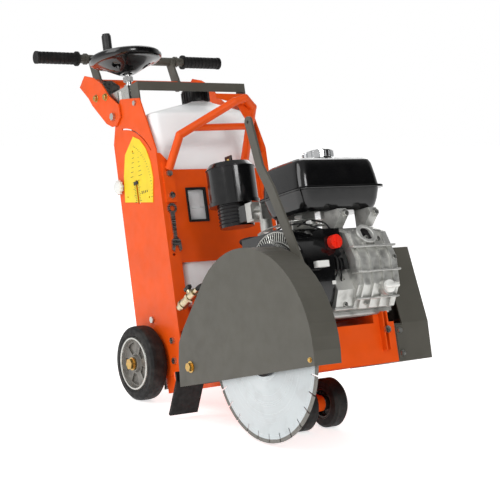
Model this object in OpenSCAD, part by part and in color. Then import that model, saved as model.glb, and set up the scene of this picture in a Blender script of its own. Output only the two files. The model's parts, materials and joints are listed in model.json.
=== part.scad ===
// Walk-behind concrete saw, blade raised, standing on its four wheels.
// Row frame: X forward, Y to the machine's left, Z up, origin on the floor.
// The chassis frame has its origin on the rear wheel centre line and is
// pitched nose-up by nose_pitch, because the front wheels are swung down.

/* [Wheels and stance] */
// Radius of the rear tyres
rear_r = 98; // [80:1:120]
// Width of the rear tyres
rear_w = 50; // [40:1:60]
// Radius of the front tyres
front_r = 59; // [50:1:70]
// Width of the front tyres
front_w = 38; // [30:1:45]
// Nose-up pitch of the chassis with the blade raised, degrees
nose_pitch = 13.6; // [0:0.1:16]
// Forward position of the rear wheel centre line
axle_x = -205; // [-260:1:-160]

/* [Blade] */
// Radius of the diamond blade over the segments
blade_r = 200; // [175:5:225]
// Number of diamond segments
segment_count = 28; // [24:1:32]
// Radius of the blade arbor
arbor_r = 12.7; // [12.7:0.1:12.7]
// Chassis X of the blade shaft
shaft_x = 608; // [590:1:620]
// Chassis Z of the blade shaft
shaft_z = -35.5; // [-45:0.5:-25]

/* [Frame] */
// Half width over the column side plates
column_y = 175.5; // [165:0.5:185]
// Chassis X of the frame's front face
frame_front = 687; // [660:1:700]
// Thickness of the frame plates
plate_t = 5; // [4:0.5:8]
// Thickness of the column plates
column_t = 4; // [3:0.5:5]

/* [Handle] */
// Width over the grips
handle_w = 608; // [560:2:640]
// Radius of the handlebar tube
handle_r = 12.5; // [11:0.5:16]

/* [Hidden] */
$fn = 40;
rear_y0 = 181.5;
hub_r = 70;
front_x = 510;
front_z = -163.5;
pivot_x = 200;
pivot_z = -30;
arm_dx = front_x - pivot_x;
arm_dz = front_z - pivot_z;
arm_len = sqrt(arm_dx * arm_dx + arm_dz * arm_dz);
arm_rest = atan2(arm_dz, arm_dx);
arm_mid_y = -45;
arm_half = 22;
front_wheel_gap = 2;
lever_r = 182;
lever_half = 8.75;
tank_cap_x = 20;
tank_cap_y = 58;
screw_x = 19;
screw_y = -150;
screw_r = 8;
nut_z = pivot_z + lever_r * sin(lever_half);
frame_right = -171.5;
frame_left = 88;
frame_bottom = -90;
frame_top = 4;
crank_x = 600;
crank_z = 125;
crank_r = 12.5;
crank_drum_r = 100;
flywheel_r = 90;
fan_z = crank_z + 2;
guard_out = -277;
guard_in = -205;
guard_t = 3.5;
guard_r = 242;
guard_pivot_x = 359;
guard_pivot_z = -37;
guard_bolt_r = 6.2;
blade_y = -235.5;
core_t = 2.6;
segment_t = 3.4;
flange_r = 50;
handle_x = -207;
handle_z = 887;
handle_pivot_x = -30;
handle_pivot_z = 673;
handle_pin_r = 6;
cross_tube_x = -178;
cross_tube_z = 806;
wheel_z = 822;
knob_pin_r = 5;
pulley_y = 140;
pulley_w = 34;
pulley_small = 33;
pulley_big = 42;
flange_lip = 5;
belt_t = 5;
inner_y = column_y - column_t;
bend_bulge = 0.4;
valve_x = 193;
valve_y = -186;
valve_z = 120;
valve_tilt = 20.5;
switch_x = 706.3;
switch_y = -73;
switch_z = 196;
tank_x = 604;
oil_y = 42;
oil_z = 82;
filter_x = 315;
filter_y = -60;

orange = [0.90, 0.30, 0.10];
charcoal = [0.30, 0.29, 0.27];
black = [0.05, 0.05, 0.05];
rubber = [0.07, 0.07, 0.07];
steel = [0.62, 0.62, 0.64];
zinc = [0.72, 0.72, 0.70];
cast = [0.66, 0.66, 0.66];
white = [0.92, 0.92, 0.90];
yellow = [0.95, 0.82, 0.10];
brass = [0.75, 0.60, 0.30];
red = [0.80, 0.12, 0.08];

// Places a chassis-frame part in the row frame.
module on_chassis() {
    translate([axle_x, 0, rear_r])
        rotate([0, -nose_pitch, 0])
            children();
}

// Cylinder along Y from y0 to y1 at chassis x and z.
module cyl_y(r, y0, y1, x, z, fn = 40) {
    translate([x, y0, z])
        rotate([-90, 0, 0])
            cylinder(h = y1 - y0, r = r, $fn = fn);
}

// Cylinder along X from x0 to x1 at chassis y and z.
module cyl_x(r, x0, x1, y, z, fn = 40) {
    translate([x0, y, z])
        rotate([0, 90, 0])
            cylinder(h = x1 - x0, r = r, $fn = fn);
}

// Cylinder along Z from z0 to z1 at chassis x and y.
module cyl_z(r, z0, z1, x, y, fn = 40) {
    translate([x, y, z0])
        cylinder(h = z1 - z0, r = r, $fn = fn);
}

// Box between two corners.
module box(a, b) {
    translate(a)
        cube([b[0] - a[0], b[1] - a[1], b[2] - a[2]]);
}

// Box with its upright edges rounded.
module rbox(a, b, r) {
    box([a[0] + r, a[1], a[2]], [b[0] - r, b[1], b[2]]);
    box([a[0], a[1] + r, a[2]], [b[0], b[1] - r, b[2]]);
    for (x = [a[0] + r, b[0] - r])
        for (y = [a[1] + r, b[1] - r])
            cyl_z(r, a[2], b[2], x, y, 24);
}

// Sheet whose outline lies in the XZ plane, from y0 for t along +Y.
module plate_y(points, y0, t) {
    translate([0, y0 + t, 0])
        rotate([90, 0, 0])
            linear_extrude(height = t)
                polygon(points);
}

// Sheet whose outline lies in the YZ plane, from x0 for t along +X.
module plate_x(points, x0, t) {
    translate([x0, 0, 0])
        rotate([90, 0, 90])
            linear_extrude(height = t)
                polygon(points);
}

// Straight round bar between two points.
module bar(a, b, r, fn = 24) {
    d = b - a;
    len = norm(d);
    translate(a)
        rotate([0, acos(d[2] / len), atan2(d[1], d[0])])
            cylinder(h = len, r = r, $fn = fn);
}

// Bent round tube through a list of points; each bend bulges slightly.
module bent_tube(points, r, fn = 24) {
    for (i = [0 : len(points) - 2])
        bar(points[i], points[i + 1], r, fn);
    for (i = [1 : len(points) - 2])
        translate(points[i])
            sphere(r = r + bend_bulge, $fn = fn);
}

// Hexagon bolt along Y, head on the side given by dir, shank through.
module bolt_y(x, z, y_head, dir, shank, r) {
    cyl_y(r * 1.8, min(y_head, y_head + dir * r * 1.2),
        max(y_head, y_head + dir * r * 1.2), x, z, 6);
    cyl_y(r, min(y_head, y_head - dir * shank),
        max(y_head, y_head - dir * shank), x, z, 20);
}

// Hexagon bolt along X with its head facing forward.
module bolt_x(y, z, x_head, shank, r) {
    cyl_x(r * 1.8, x_head, x_head + r * 1.2, y, z, 6);
    cyl_x(r, x_head - shank, x_head, y, z, 20);
}

// ---- Frame ----

module side_holes() {
    cyl_y(12.1, -200, 120, pivot_x, pivot_z);
    cyl_y(24, -200, 120, shaft_x, shaft_z);
    for (s = [-1, 1])
        for (t = [-1, 1])
            cyl_y(4.3, -200, 120, shaft_x + s * 27, shaft_z + t * 27, 20);
}

module base_frame() {
    rail_w = 36;
    color(orange) on_chassis() difference() {
        union() {
            plate_y([[60, frame_bottom], [frame_front, frame_bottom],
                [frame_front, frame_top], [150, frame_top], [150, 60],
                [60, 60]], frame_right, plate_t);
            plate_y([[104, frame_bottom], [frame_front, frame_bottom],
                [frame_front, frame_top], [104, frame_top]],
                frame_left - plate_t, plate_t);
            box([frame_front - plate_t, frame_right, frame_bottom],
                [frame_front, frame_left, frame_top]);
            box([104, frame_right, 0], [frame_front, frame_left, frame_top]);
            box([104, frame_right, -60], [109, inner_y, 126]);
            box([60, inner_y - plate_t, -60], [150, inner_y, 60]);
            box([-40, -128, 122], [109, 164, 126]);
            for (y = [-120, 28])
                box([470, y, frame_top], [frame_front, y + rail_w, 24]);
            for (y = [44, 56])
                box([frame_front, y, -61], [frame_front + 15, y + 4, 29]);
            box([232, frame_right, 0], [254, frame_right + plate_t, 152]);
            box([276, -277, -62], [281, frame_right, -42]);
            box([276, frame_right - 1, -62], [300, frame_right, -42]);
            cyl_y(22, frame_right, frame_right + 14, pivot_x, pivot_z);
            cyl_y(22, frame_left - 14, frame_left, pivot_x, pivot_z);
        }
        side_holes();
        box([100, -142, -64], [112, -114, 24]);
        for (s = [-1, 1]) {
            for (p = [[122, 43], [119, -9]])
                cyl_y(5.3, s * 169 - 6, s * 169 + 6, p[0], p[1], 20);
        }
        cyl_y(guard_bolt_r + 0.08, -180, -160, guard_pivot_x, guard_pivot_z);
        cyl_y(4.3, -180, -160, 243, 138, 20);
        cyl_x(5.2, 680, 704, 52, -14, 20);
        for (y = [-102, 46])
            for (x = [525, 668])
                cyl_z(5.2, -2, 26, x, y, 20);
    }
}

module column_outline() {
    polygon([[-58, -45], [157, -45], [157, 541], [106, 690], [7, 712],
        [-29, 668], [-58, 600]]);
}

// One column: side plate, front flange and rear lip, drawn on the right.
module column() {
    y0 = -column_y;
    difference() {
        union() {
            translate([0, y0 + column_t, 0])
                rotate([90, 0, 0])
                    linear_extrude(height = column_t)
                        column_outline();
            plate_x([[y0, 64], [y0 + 36, 64], [y0 + 36, 505], [y0 + 12, 530],
                [y0, 530]], 153, column_t);
            box([-58, y0, 120], [-54, y0 + 20, 590]);
        }
        cyl_y(10.3, -180, -165, 0, 0);
        for (p = [[33, 108], [122, 43], [119, -9]])
            cyl_y(5.3, -180, -165, p[0], p[1], 20);
        cyl_y(handle_pin_r + 0.3, -180, -165, handle_pivot_x, handle_pivot_z, 24);
        cyl_y(4.3, -180, -165, 82, 682, 20);
        for (z = [474, 416])
            cyl_x(5.3, 150, 160, -148, z, 20);
        for (z = [262, 450])
            cyl_x(4.3, 150, 160, -160, z, 20);
    }
}

module column_right() {
    color(orange) on_chassis() difference() {
        column();
        box([36, -180, 418], [44, -165, 482]);
        translate([-31, -165, 438])
            rotate([90, 0, 0])
                rotate([0, 0, 32])
                    rotate_extrude(angle = 50, $fn = 60)
                        translate([193, 0])
                            square([3.5, 20]);
        for (p = [[40, 560], [-14, 447], [98, 425]])
            cyl_y(2.7, -180, -165, p[0], p[1], 16);
    }
}

module column_left() {
    color(orange) on_chassis() {
        mirror([0, 1, 0])
            column();
        plate_x([[inner_y, 706], [70, 706], [70, 694], [inner_y, 671]], 103, 4);
    }
}

module cross_panel() {
    color(orange) on_chassis() difference() {
        box([149, -inner_y, 240], [153, inner_y, 486]);
        box([145, -94, 350], [157, -41, 432]);
        for (z = [474, 416])
            cyl_x(5.3, 145, 157, -148, z, 20);
        for (s = [-1, 1])
            for (z = [262, 450])
                cyl_x(4.3, 145, 157, s * 160, z, 20);
        cyl_x(5.3, 145, 157, 86, 474, 20);
        cyl_x(5.3, 145, 157, 86, 438, 20);
    }
}

module top_cross_plate() {
    color(charcoal) on_chassis() difference() {
        union() {
            box([62, -inner_y, 733], [102, inner_y, 737]);
            box([98, -inner_y, 713], [102, inner_y, 737]);
            for (s = [-1, 1])
                box([62, s * 169.5 - 2, 668], [102, s * 169.5 + 2, 737]);
        }
        cyl_y(4.3, -180, 180, 82, 682, 20);
    }
}

module lifting_loop() {
    color(orange) on_chassis() difference() {
        union() {
            bent_tube([[167, -148, 486], [222, -137, 562], [276, 10, 638],
                [282, 40, 646], [268, 70, 626], [178, 86, 506],
                [164, 86, 486]], 11);
            bar([234, -106, 578], [238, 78, 582], 9);
            box([157, -164, 398], [162, -132, 504]);
            box([153, 70, 420], [158, 102, 504]);
            plate_x([[20, 640], [66, 628], [60, 590], [48, 590]], 262, 4);
        }
        for (z = [474, 416])
            cyl_x(5.3, 150, 163, -148, z, 20);
        for (z = [474, 438])
            cyl_x(5.3, 150, 159, 86, z, 20);
    }
}

// ---- Water ----

module water_tank() {
    color(white) on_chassis() difference() {
        union() {
            rbox([-40, -124, 126.5], [146, 162, 640], 26);
            rbox([52, -164, 262], [146, 162, 640], 20);
            rbox([-34, -118, 640], [140, 156, 668], 24);
            rbox([58, -150, 640], [140, 156, 668], 20);
            rbox([-20, -70, 668], [80, 120, 692], 22);
            cyl_z(30, 692, 704, tank_cap_x, tank_cap_y);
        }
        box([-36, -120, 131], [142, 158, 600]);
        cyl_z(24, 590, 710, tank_cap_x, tank_cap_y);
        cyl_x(8.2, 140, 150, -104, 158);
    }
}

module tank_cap() {
    color(black) on_chassis() difference() {
        union() {
            cyl_z(37, 700, 736, tank_cap_x, tank_cap_y);
            for (i = [0 : 23])
                translate([tank_cap_x, tank_cap_y, 0])
                    rotate([0, 0, i * 15])
                        box([35, -2.2, 702], [39.5, 2.2, 731]);
        }
        cyl_z(30.4, 695, 705, tank_cap_x, tank_cap_y);
        cyl_z(26, 695, 730, tank_cap_x, tank_cap_y);
    }
}

// The valve's own axis rises forward at valve_tilt from its hose nipple.
module on_valve() {
    on_chassis()
        translate([valve_x, valve_y, valve_z])
            rotate([0, -valve_tilt, 0])
                children();
}

module water_valve() {
    color(brass) {
        on_valve() difference() {
            union() {
                cyl_x(9, 0, 14, 0, 0);
                cyl_x(13, 14, 22, 0, 0);
                cyl_x(11, 22, 52, 0, 0);
                cyl_x(13, 52, 60, 0, 0, 6);
                cyl_x(10, 60, 84, 0, 0);
                cyl_x(6, 84, 100, 0, 0);
                cyl_z(6, 0, 17, 62, 0, 24);
                cyl_z(2.94, 17, 19.8, 62, 0, 20);
            }
            cyl_x(5, -2, 30, 0, 0, 24);
        }
        on_chassis() cyl_y(6, -178, frame_right, 243, 138, 24);
        on_chassis() cyl_y(4, frame_right, -162, 243, 138, 20);
        on_chassis() cyl_y(5, -180, -158, 266, 147, 20);
    }
}

module valve_knob() {
    color(black) on_valve() difference() {
        union() {
            cyl_z(8, 17.3, 24, 62, 0, 24);
            box([50, -5, 19], [74, 5, 27]);
        }
        cyl_z(3, 15, 20, 62, 0, 20);
    }
}

// Point at share t of the i-th stretch of a smooth curve through p.
function curve_point(p, i, t) =
    let (a = p[max(i - 1, 0)], b = p[i], c = p[i + 1],
        d = p[min(i + 2, len(p) - 1)])
    b + 0.5 * t * ((c - a) + t * ((2 * a - 5 * b + 4 * c - d)
        + t * (3 * b - a - 3 * c + d)));

// Hose of radius r through the points; ref is a direction it never takes.
module hose(points, r, ref, sides = 14, steps = 4) {
    route = concat([for (i = [0 : len(points) - 2])
        for (k = [0 : steps - 1]) curve_point(points, i, k / steps)],
        [points[len(points) - 1]]);
    last = len(route) - 1;
    rings = [for (i = [0 : last])
        let (d = route[min(i + 1, last)] - route[max(i - 1, 0)],
            side = cross(d, ref) / norm(cross(d, ref)),
            up = cross(side, d) / norm(d))
        for (k = [0 : sides - 1]) let (a = k * 360 / sides)
            route[i] + r * (cos(a) * side + sin(a) * up)];
    walls = [for (i = [0 : last - 1])
        for (k = [0 : sides - 1])
            let (a = i * sides + k, b = i * sides + (k + 1) % sides)
            each [[b, b + sides, a], [b + sides, a + sides, a]]];
    start_cap = [for (k = [sides - 1 : -1 : 0]) k];
    end_cap = [for (k = [0 : sides - 1]) last * sides + k];
    polyhedron(rings, concat([start_cap, end_cap], walls));
}

module water_hose() {
    color(black) on_chassis() {
        hose([[289.5, -186, 156], [316, -187, 160], [348, -190, 150],
            [430, -194, 88], [516, -196, 20], [546, -214, -6]], 6,
            [0, 1, 0]);
        hose([[142, -104, 158], [184, -104, 158], [240, -110, 152],
            [266, -132, 147], [266, -157.7, 147]], 7, [0, 0, 1]);
    }
}

// ---- Depth scale and lift screw ----

module scale_plate() {
    color(yellow) on_chassis() difference() {
        plate_y([[52, 598], [-2, 560], [-22, 505], [-33, 436], [112, 408],
            [128, 472], [124, 515], [110, 552], [84, 582]], -177.1, 1.5);
        box([36, -180, 418], [44, -170, 482]);
        for (p = [[40, 560], [-14, 447], [98, 425]])
            cyl_y(2.7, -180, -165, p[0], p[1], 16);
    }
}

module depth_pointer() {
    color(black) on_chassis() {
        box([30, -180.1, 470], [50, -177.6, 478]);
        box([37, -178, 471], [43, -166, 477]);
        box([33, -170.5, 466], [47, -166, 482]);
    }
}

module spindle_bracket() {
    color(zinc) on_chassis() difference() {
        union() {
            box([-90, -inner_y, 735], [50, -118, 740]);
            box([-90, -inner_y, 690], [-10, -167.5, 740]);
            box([10, -inner_y, 690], [50, -167.5, 740]);
            plate_x([[-inner_y, 740], [-118, 740], [-118, 775],
                [-140, 790], [-inner_y, 790]], -90, 4);
            cyl_z(15, 728, 742, screw_x, screw_y);
        }
        cyl_z(screw_r + 0.08, 700, 760, screw_x, screw_y);
        cyl_y(4.3, -180, -160, 30, 700, 20);
    }
}

module lift_screw() {
    color(steel) on_chassis() difference() {
        union() {
            cyl_z(screw_r, -78, 800, screw_x, screw_y);
            cyl_z(13, 742.5, 748, screw_x, screw_y);
            cyl_z(13, 722, 727.5, screw_x, screw_y);
            cyl_z(13.5, 758, 771, screw_x, screw_y, 6);
        }
        for (i = [0 : 9])
            translate([screw_x, screw_y, -70 + i * 9])
                rotate_extrude($fn = 40)
                    translate([screw_r - 0.8, 0])
                        square([2, 3]);
    }
}

module screw_nut() {
    color(steel) on_chassis() difference() {
        union() {
            box([screw_x - 15, screw_y - 11, nut_z - 11],
                [screw_x + 15, screw_y + 11, nut_z + 11]);
            cyl_y(6, screw_y + 11, -120, screw_x, nut_z);
            cyl_y(10, -122.5, -119, screw_x, nut_z);
        }
        cyl_z(screw_r + 0.08, nut_z - 20, nut_z + 20, screw_x, screw_y);
    }
}

module handwheel() {
    color(black) on_chassis() translate([screw_x, screw_y, 0]) difference() {
        union() {
            translate([0, 0, wheel_z])
                rotate_extrude($fn = 72)
                    translate([88, 0])
                        circle(r = 11, $fn = 28);
            cyl_z(20, 772, 802, 0, 0);
            cyl_z(knob_pin_r, 826, 850, -86, -2);
            rotate_extrude($fn = 72)
                polygon([[14, 786], [30, 786], [82, 816], [82, 826],
                    [14, 794]]);
        }
        cyl_z(screw_r + 0.2, 760, 810, 0, 0);
        for (i = [0 : 2])
            rotate([0, 0, i * 120 + 60])
                cyl_z(19, 770, 840, 53, 0);
    }
}

module handwheel_knob() {
    color(black) on_chassis()
        translate([screw_x - 86, screw_y - 2, 0]) difference() {
            union() {
                cyl_z(11, 834.5, 842, 0, 0);
                cyl_z(13, 842, 912, 0, 0);
                cyl_z(11, 912, 917, 0, 0);
            }
            cyl_z(knob_pin_r + 0.06, 830, 851, 0, 0);
        }
}

// ---- Front axle ----

module on_arm() {
    on_chassis()
        translate([pivot_x, 0, pivot_z])
            rotate([0, -arm_rest, 0])
                children();
}

module front_axle_arm() {
    lever_rot = 180 - lever_half - arm_rest;
    y0 = arm_mid_y - arm_half;
    y1 = arm_mid_y + arm_half;
    color(orange) difference() {
        union() {
            on_chassis() cyl_y(20, -156, 72, pivot_x, pivot_z);
            on_arm() {
                for (y = [y0, y1 - 5])
                    box([0, y, -17], [arm_len, y + 5, 17]);
                box([5, y0, 12], [arm_len - 8, y1, 17]);
                box([5, y0, -17], [arm_len - 60, y1, -12]);
                cyl_y(19, y0, y1, arm_len, 0);
            }
            on_arm()
                rotate([0, -lever_rot, 0])
                    plate_y([[0, -18], [lever_r + 14, -14],
                        [lever_r + 14, 14], [0, 18]], -134, 9);
        }
        on_chassis() cyl_y(12.08, -160, 80, pivot_x, pivot_z);
        on_arm() cyl_y(10.2, -80, 0, arm_len, 0);
        on_arm()
            rotate([0, -lever_rot, 0]) {
                box([lever_r - 10, -140, -6.5], [lever_r + 6, -120, 6.5]);
                cyl_y(6.6, -140, -120, lever_r - 10, 0);
                cyl_y(6.6, -140, -120, lever_r + 6, 0);
            }
    }
}

module front_wheel_shaft() {
    y0 = arm_mid_y - arm_half - front_wheel_gap - front_w;
    y1 = arm_mid_y + arm_half + front_wheel_gap + front_w;
    color(steel) on_chassis() {
        cyl_y(10, y0 - 9, y1 + 9, front_x, front_z);
        cyl_y(16, y1 + 1, y1 + 8, front_x, front_z, 6);
        cyl_y(16, y0 - 8, y0 - 1, front_x, front_z, 6);
    }
}

module front_tyre(y0) {
    color(rubber) on_chassis()
        translate([front_x, y0, front_z])
            rotate([-90, 0, 0])
                rotate_extrude($fn = 64)
                    polygon([[38, 0], [front_r - 6, 0], [front_r, 7],
                        [front_r, front_w - 7], [front_r - 6, front_w],
                        [38, front_w]]);
}

module front_rim(y0) {
    color(charcoal) on_chassis()
        translate([front_x, y0, front_z])
            rotate([-90, 0, 0])
                difference() {
                    rotate_extrude($fn = 48)
                        polygon([[10.06, 0], [17, 0], [17, 14], [32, 14],
                            [32, 2], [37.7, 2], [37.7, front_w - 2],
                            [32, front_w - 2], [32, front_w - 14],
                            [17, front_w - 14], [17, front_w],
                            [10.06, front_w]]);
                    for (i = [0 : 5])
                        rotate([0, 0, i * 60])
                            translate([24.5, 0, -1])
                                cylinder(h = front_w + 2, r = 4.5, $fn = 20);
                }
}

module front_tyre_left() {
    front_tyre(arm_mid_y + arm_half + front_wheel_gap);
}

module front_rim_left() {
    front_rim(arm_mid_y + arm_half + front_wheel_gap);
}

module front_tyre_right() {
    front_tyre(arm_mid_y - arm_half - front_wheel_gap - front_w);
}

module front_rim_right() {
    front_rim(arm_mid_y - arm_half - front_wheel_gap - front_w);
}

module axle_pivot_shaft() {
    color(steel) on_chassis() {
        cyl_y(12, frame_right - 1, frame_left + 1, pivot_x, pivot_z);
        cyl_y(15, frame_left + 1, frame_left + 4, pivot_x, pivot_z);
        cyl_y(15, frame_right - 4, frame_right - 1, pivot_x, pivot_z);
    }
}

// ---- Rear wheels ----

module rear_stub() {
    y_out = rear_y0 + rear_w;
    cyl_y(10, -y_out - 8, -165, 0, 0);
    cyl_y(17, -y_out - 5, -y_out - 0.5, 0, 0);
    cyl_y(15, -y_out - 14, -y_out - 5, 0, 0, 6);
    cyl_y(17, -rear_y0 + 0.5, -column_y, 0, 0);
    cyl_y(18, -inner_y, 7 - inner_y, 0, 0);
}

module rear_axle_stubs() {
    color(brass) on_chassis() {
        rear_stub();
        mirror([0, 1, 0])
            rear_stub();
    }
}

// Tyre and rim drawn on the right side, outer face at -rear_y0 - rear_w.
module rear_tyre() {
    translate([0, -rear_y0 - rear_w, 0])
        rotate([-90, 0, 0])
            rotate_extrude($fn = 80)
                polygon([[hub_r, 4], [78, 0], [rear_r - 8, 1],
                    [rear_r - 1.5, 7], [rear_r, 15],
                    [rear_r, rear_w - 15], [rear_r - 1.5, rear_w - 7],
                    [rear_r - 8, rear_w - 1], [78, rear_w],
                    [hub_r, rear_w - 4]]);
}

module rear_rim() {
    translate([0, -rear_y0 - rear_w, 0])
        rotate([-90, 0, 0])
            difference() {
                rotate_extrude($fn = 64)
                    polygon([[10.06, 0.5], [20, 0.5], [24, 9], [60, 9],
                        [63, 3], [hub_r - 0.3, 3],
                        [hub_r - 0.3, rear_w - 3], [63, rear_w - 3],
                        [60, rear_w - 9], [24, rear_w - 9],
                        [20, rear_w - 0.5], [10.06, rear_w - 0.5]]);
                for (i = [0 : 4])
                    for (z = [-1, rear_w - 14])
                        translate([0, 0, z])
                            rotate([0, 0, i * 72 + 18])
                                rotate_extrude(angle = 40, $fn = 48)
                                    translate([28, 0])
                                        square([28, 15]);
            }
}

module rear_tyre_right() {
    color(rubber) on_chassis() rear_tyre();
}

module rear_rim_right() {
    color(charcoal) on_chassis() rear_rim();
}

module rear_tyre_left() {
    color(rubber) on_chassis() mirror([0, 1, 0]) rear_tyre();
}

module rear_rim_left() {
    color(charcoal) on_chassis() mirror([0, 1, 0]) rear_rim();
}

// ---- Handle ----

module handle_plate() {
    difference() {
        plate_y([[-167, 825], [-122, 808], [-76, 778], [-45, 736], [3, 698],
            [5, 664], [-20, 646], [-45, 648], [-74, 664], [-142, 733],
            [-158, 757], [-202, 801]], -181, 4);
        cyl_y(handle_pin_r + 0.06, -185, -170, handle_pivot_x, handle_pivot_z);
    }
}

module handle_plates() {
    color(orange) on_chassis() {
        handle_plate();
        mirror([0, 1, 0])
            handle_plate();
        cyl_y(13, -179, 179, cross_tube_x, cross_tube_z);
    }
}

module handlebar() {
    color(charcoal) on_chassis() difference() {
        union() {
            cyl_y(handle_r, -handle_w / 2 + 2, handle_w / 2 - 2,
                handle_x, handle_z);
            for (s = [-1, 1]) {
                plate_y([[handle_x - 14, handle_z - 4],
                    [cross_tube_x - 18, cross_tube_z - 6],
                    [cross_tube_x + 14, cross_tube_z - 16],
                    [cross_tube_x + 12, cross_tube_z + 18],
                    [handle_x + 14, handle_z + 8]], s * 130 - 3, 6);
                cyl_y(16, s * 150 - 4, s * 150 + 4, handle_x, handle_z);
                cyl_y(18, s * 130 - 3, s * 130 + 3, cross_tube_x,
                    cross_tube_z);
            }
        }
        cyl_y(13.3, -140, 140, cross_tube_x, cross_tube_z);
    }
}

module grip() {
    difference() {
        union() {
            cyl_y(16, -handle_w / 2, -handle_w / 2 + 128, handle_x, handle_z);
            for (i = [0 : 8])
                cyl_y(17.2, -handle_w / 2 + 8 + i * 12.5,
                    -handle_w / 2 + 15 + i * 12.5, handle_x, handle_z);
            cyl_y(21, -handle_w / 2 + 124, -handle_w / 2 + 130, handle_x,
                handle_z);
            cyl_y(18, -handle_w / 2 - 1, -handle_w / 2 + 5, handle_x,
                handle_z);
        }
        cyl_y(handle_r + 0.3, -handle_w / 2 + 1.5, -handle_w / 2 + 140,
            handle_x, handle_z);
    }
}

module handle_grips() {
    color(rubber) on_chassis() {
        grip();
        mirror([0, 1, 0])
            grip();
    }
}

// ---- Blade guard ----

// Guard outline moved inward by d.
function guard_shape(d) = concat(
    [[298 + d, -80], [305 + d, -20], [318 + d, 26 - d * 0.4],
        [345 + d * 0.7, 56 - d * 0.8]],
    [for (a = [126 : -6.8 : -10]) [shaft_x + (guard_r - d) * cos(a),
        shaft_z + (guard_r - d) * sin(a)]],
    [[846 - d, -80]]);

module blade_guard() {
    color(charcoal) on_chassis() difference() {
        union() {
            plate_y(guard_shape(0), guard_out, guard_t);
            difference() {
                plate_y(guard_shape(0), guard_out, guard_in - guard_out);
                plate_y(concat([[298 + guard_t, -82]],
                    guard_shape(guard_t), [[846 - guard_t, -82]]),
                    guard_out + 1, guard_in - guard_out + 2);
            }
            plate_y([[300, -80], [306, -20], [319, 24], [345, 52],
                [430, 52], [440, -80]], guard_in - guard_t, guard_t);
            intersection() {
                plate_y(guard_shape(1), guard_in - guard_t, guard_t);
                box([690, guard_in - guard_t, 95], [780, guard_in, 200]);
            }
        }
        cyl_y(guard_bolt_r + 0.08, -290, -190, guard_pivot_x, guard_pivot_z);
    }
}

module guard_lift_bar() {
    y0 = guard_in;
    color(charcoal) on_chassis() difference() {
        union() {
            plate_y([[612, 494], [634, 380], [666, 318], [744, 120],
                [766, 128], [690, 330], [658, 388], [637, 498]],
                y0, 6);
            cyl_y(13, y0, y0 + 6, 624.5, 496);
        }
        cyl_y(4, y0 - 5, y0 + 10, 624.5, 496, 20);
    }
}

module guard_bolts() {
    color(brass) on_chassis() {
        cyl_y(guard_bolt_r, -284, -163, guard_pivot_x, guard_pivot_z);
        cyl_y(14, -279, -277.3, guard_pivot_x, guard_pivot_z);
        cyl_y(11, -287, -279, guard_pivot_x, guard_pivot_z, 6);
        cyl_y(10, -204.5, frame_right, guard_pivot_x, guard_pivot_z);
    }
}

module splash_flap() {
    color(rubber) on_chassis()
        plate_y([[281.2, -42], [286, -42], [286, -66], [232, -146],
            [226, -142], [281.2, -62]], -277, 80);
}

// ---- Blade and drive ----

module blade_core() {
    slot_r = blade_r - 14;
    color(steel) on_chassis()
        translate([shaft_x, blade_y - core_t / 2, shaft_z])
            rotate([-90, 0, 0])
                difference() {
                    cylinder(h = core_t, r = blade_r - 9, $fn = 112);
                    translate([0, 0, -1])
                        cylinder(h = core_t + 2, r = arbor_r + 0.05, $fn = 60);
                    for (i = [0 : segment_count - 1])
                        rotate([0, 0, (i + 0.5) * 360 / segment_count])
                            translate([slot_r - 8, -1.5, -1])
                                cube([24, 3, core_t + 2]);
                }
}

module blade_segments() {
    step = 360 / segment_count;
    color(zinc) on_chassis()
        translate([shaft_x, blade_y - segment_t / 2, shaft_z])
            rotate([-90, 0, 0])
                for (i = [0 : segment_count - 1])
                    rotate([0, 0, i * step - step / 2 + 0.6])
                        rotate_extrude(angle = step - 1.2, $fn = 112)
                            translate([blade_r - 8.7, 0])
                                square([8.7, segment_t]);
}

module blade_flanges() {
    color(black) on_chassis() difference() {
        union() {
            cyl_y(flange_r, blade_y + core_t / 2, blade_y + core_t / 2 + 6,
                shaft_x, shaft_z, 60);
            cyl_y(26, blade_y + core_t / 2, blade_y + core_t / 2 + 14,
                shaft_x, shaft_z);
            cyl_y(flange_r, blade_y - core_t / 2 - 6, blade_y - core_t / 2,
                shaft_x, shaft_z, 60);
            cyl_y(26, blade_y - core_t / 2 - 10, blade_y - core_t / 2,
                shaft_x, shaft_z);
        }
        cyl_y(arbor_r + 0.06, -270, -200, shaft_x, shaft_z, 60);
        cyl_y(27, blade_y - core_t / 2, blade_y + core_t / 2, shaft_x,
            shaft_z);
    }
}

module blade_shaft() {
    color(steel) on_chassis() {
        cyl_y(arbor_r, -262, pulley_y + pulley_w + 4, shaft_x, shaft_z, 60);
        cyl_y(20, -260, blade_y - core_t / 2 - 10.2, shaft_x, shaft_z, 6);
    }
}

module housing(y0, y1, f0, f1) {
    difference() {
        union() {
            cyl_y(23, y0, y1, shaft_x, shaft_z);
            box([shaft_x - 36, f0, shaft_z - 36],
                [shaft_x + 36, f1, shaft_z + 34]);
        }
        cyl_y(arbor_r + 0.07, y0 - 1, y1 + 1, shaft_x, shaft_z, 60);
        for (s = [-1, 1])
            for (t = [-1, 1])
                cyl_y(4.3, y0 - 1, y1 + 1, shaft_x + s * 27,
                    shaft_z + t * 27, 20);
    }
}

module bearing_housings() {
    color(cast) on_chassis() {
        housing(-180, -140, frame_right + plate_t,
            frame_right + plate_t + 10);
        housing(56, 96, frame_left - plate_t - 10, frame_left - plate_t);
    }
}

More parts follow.
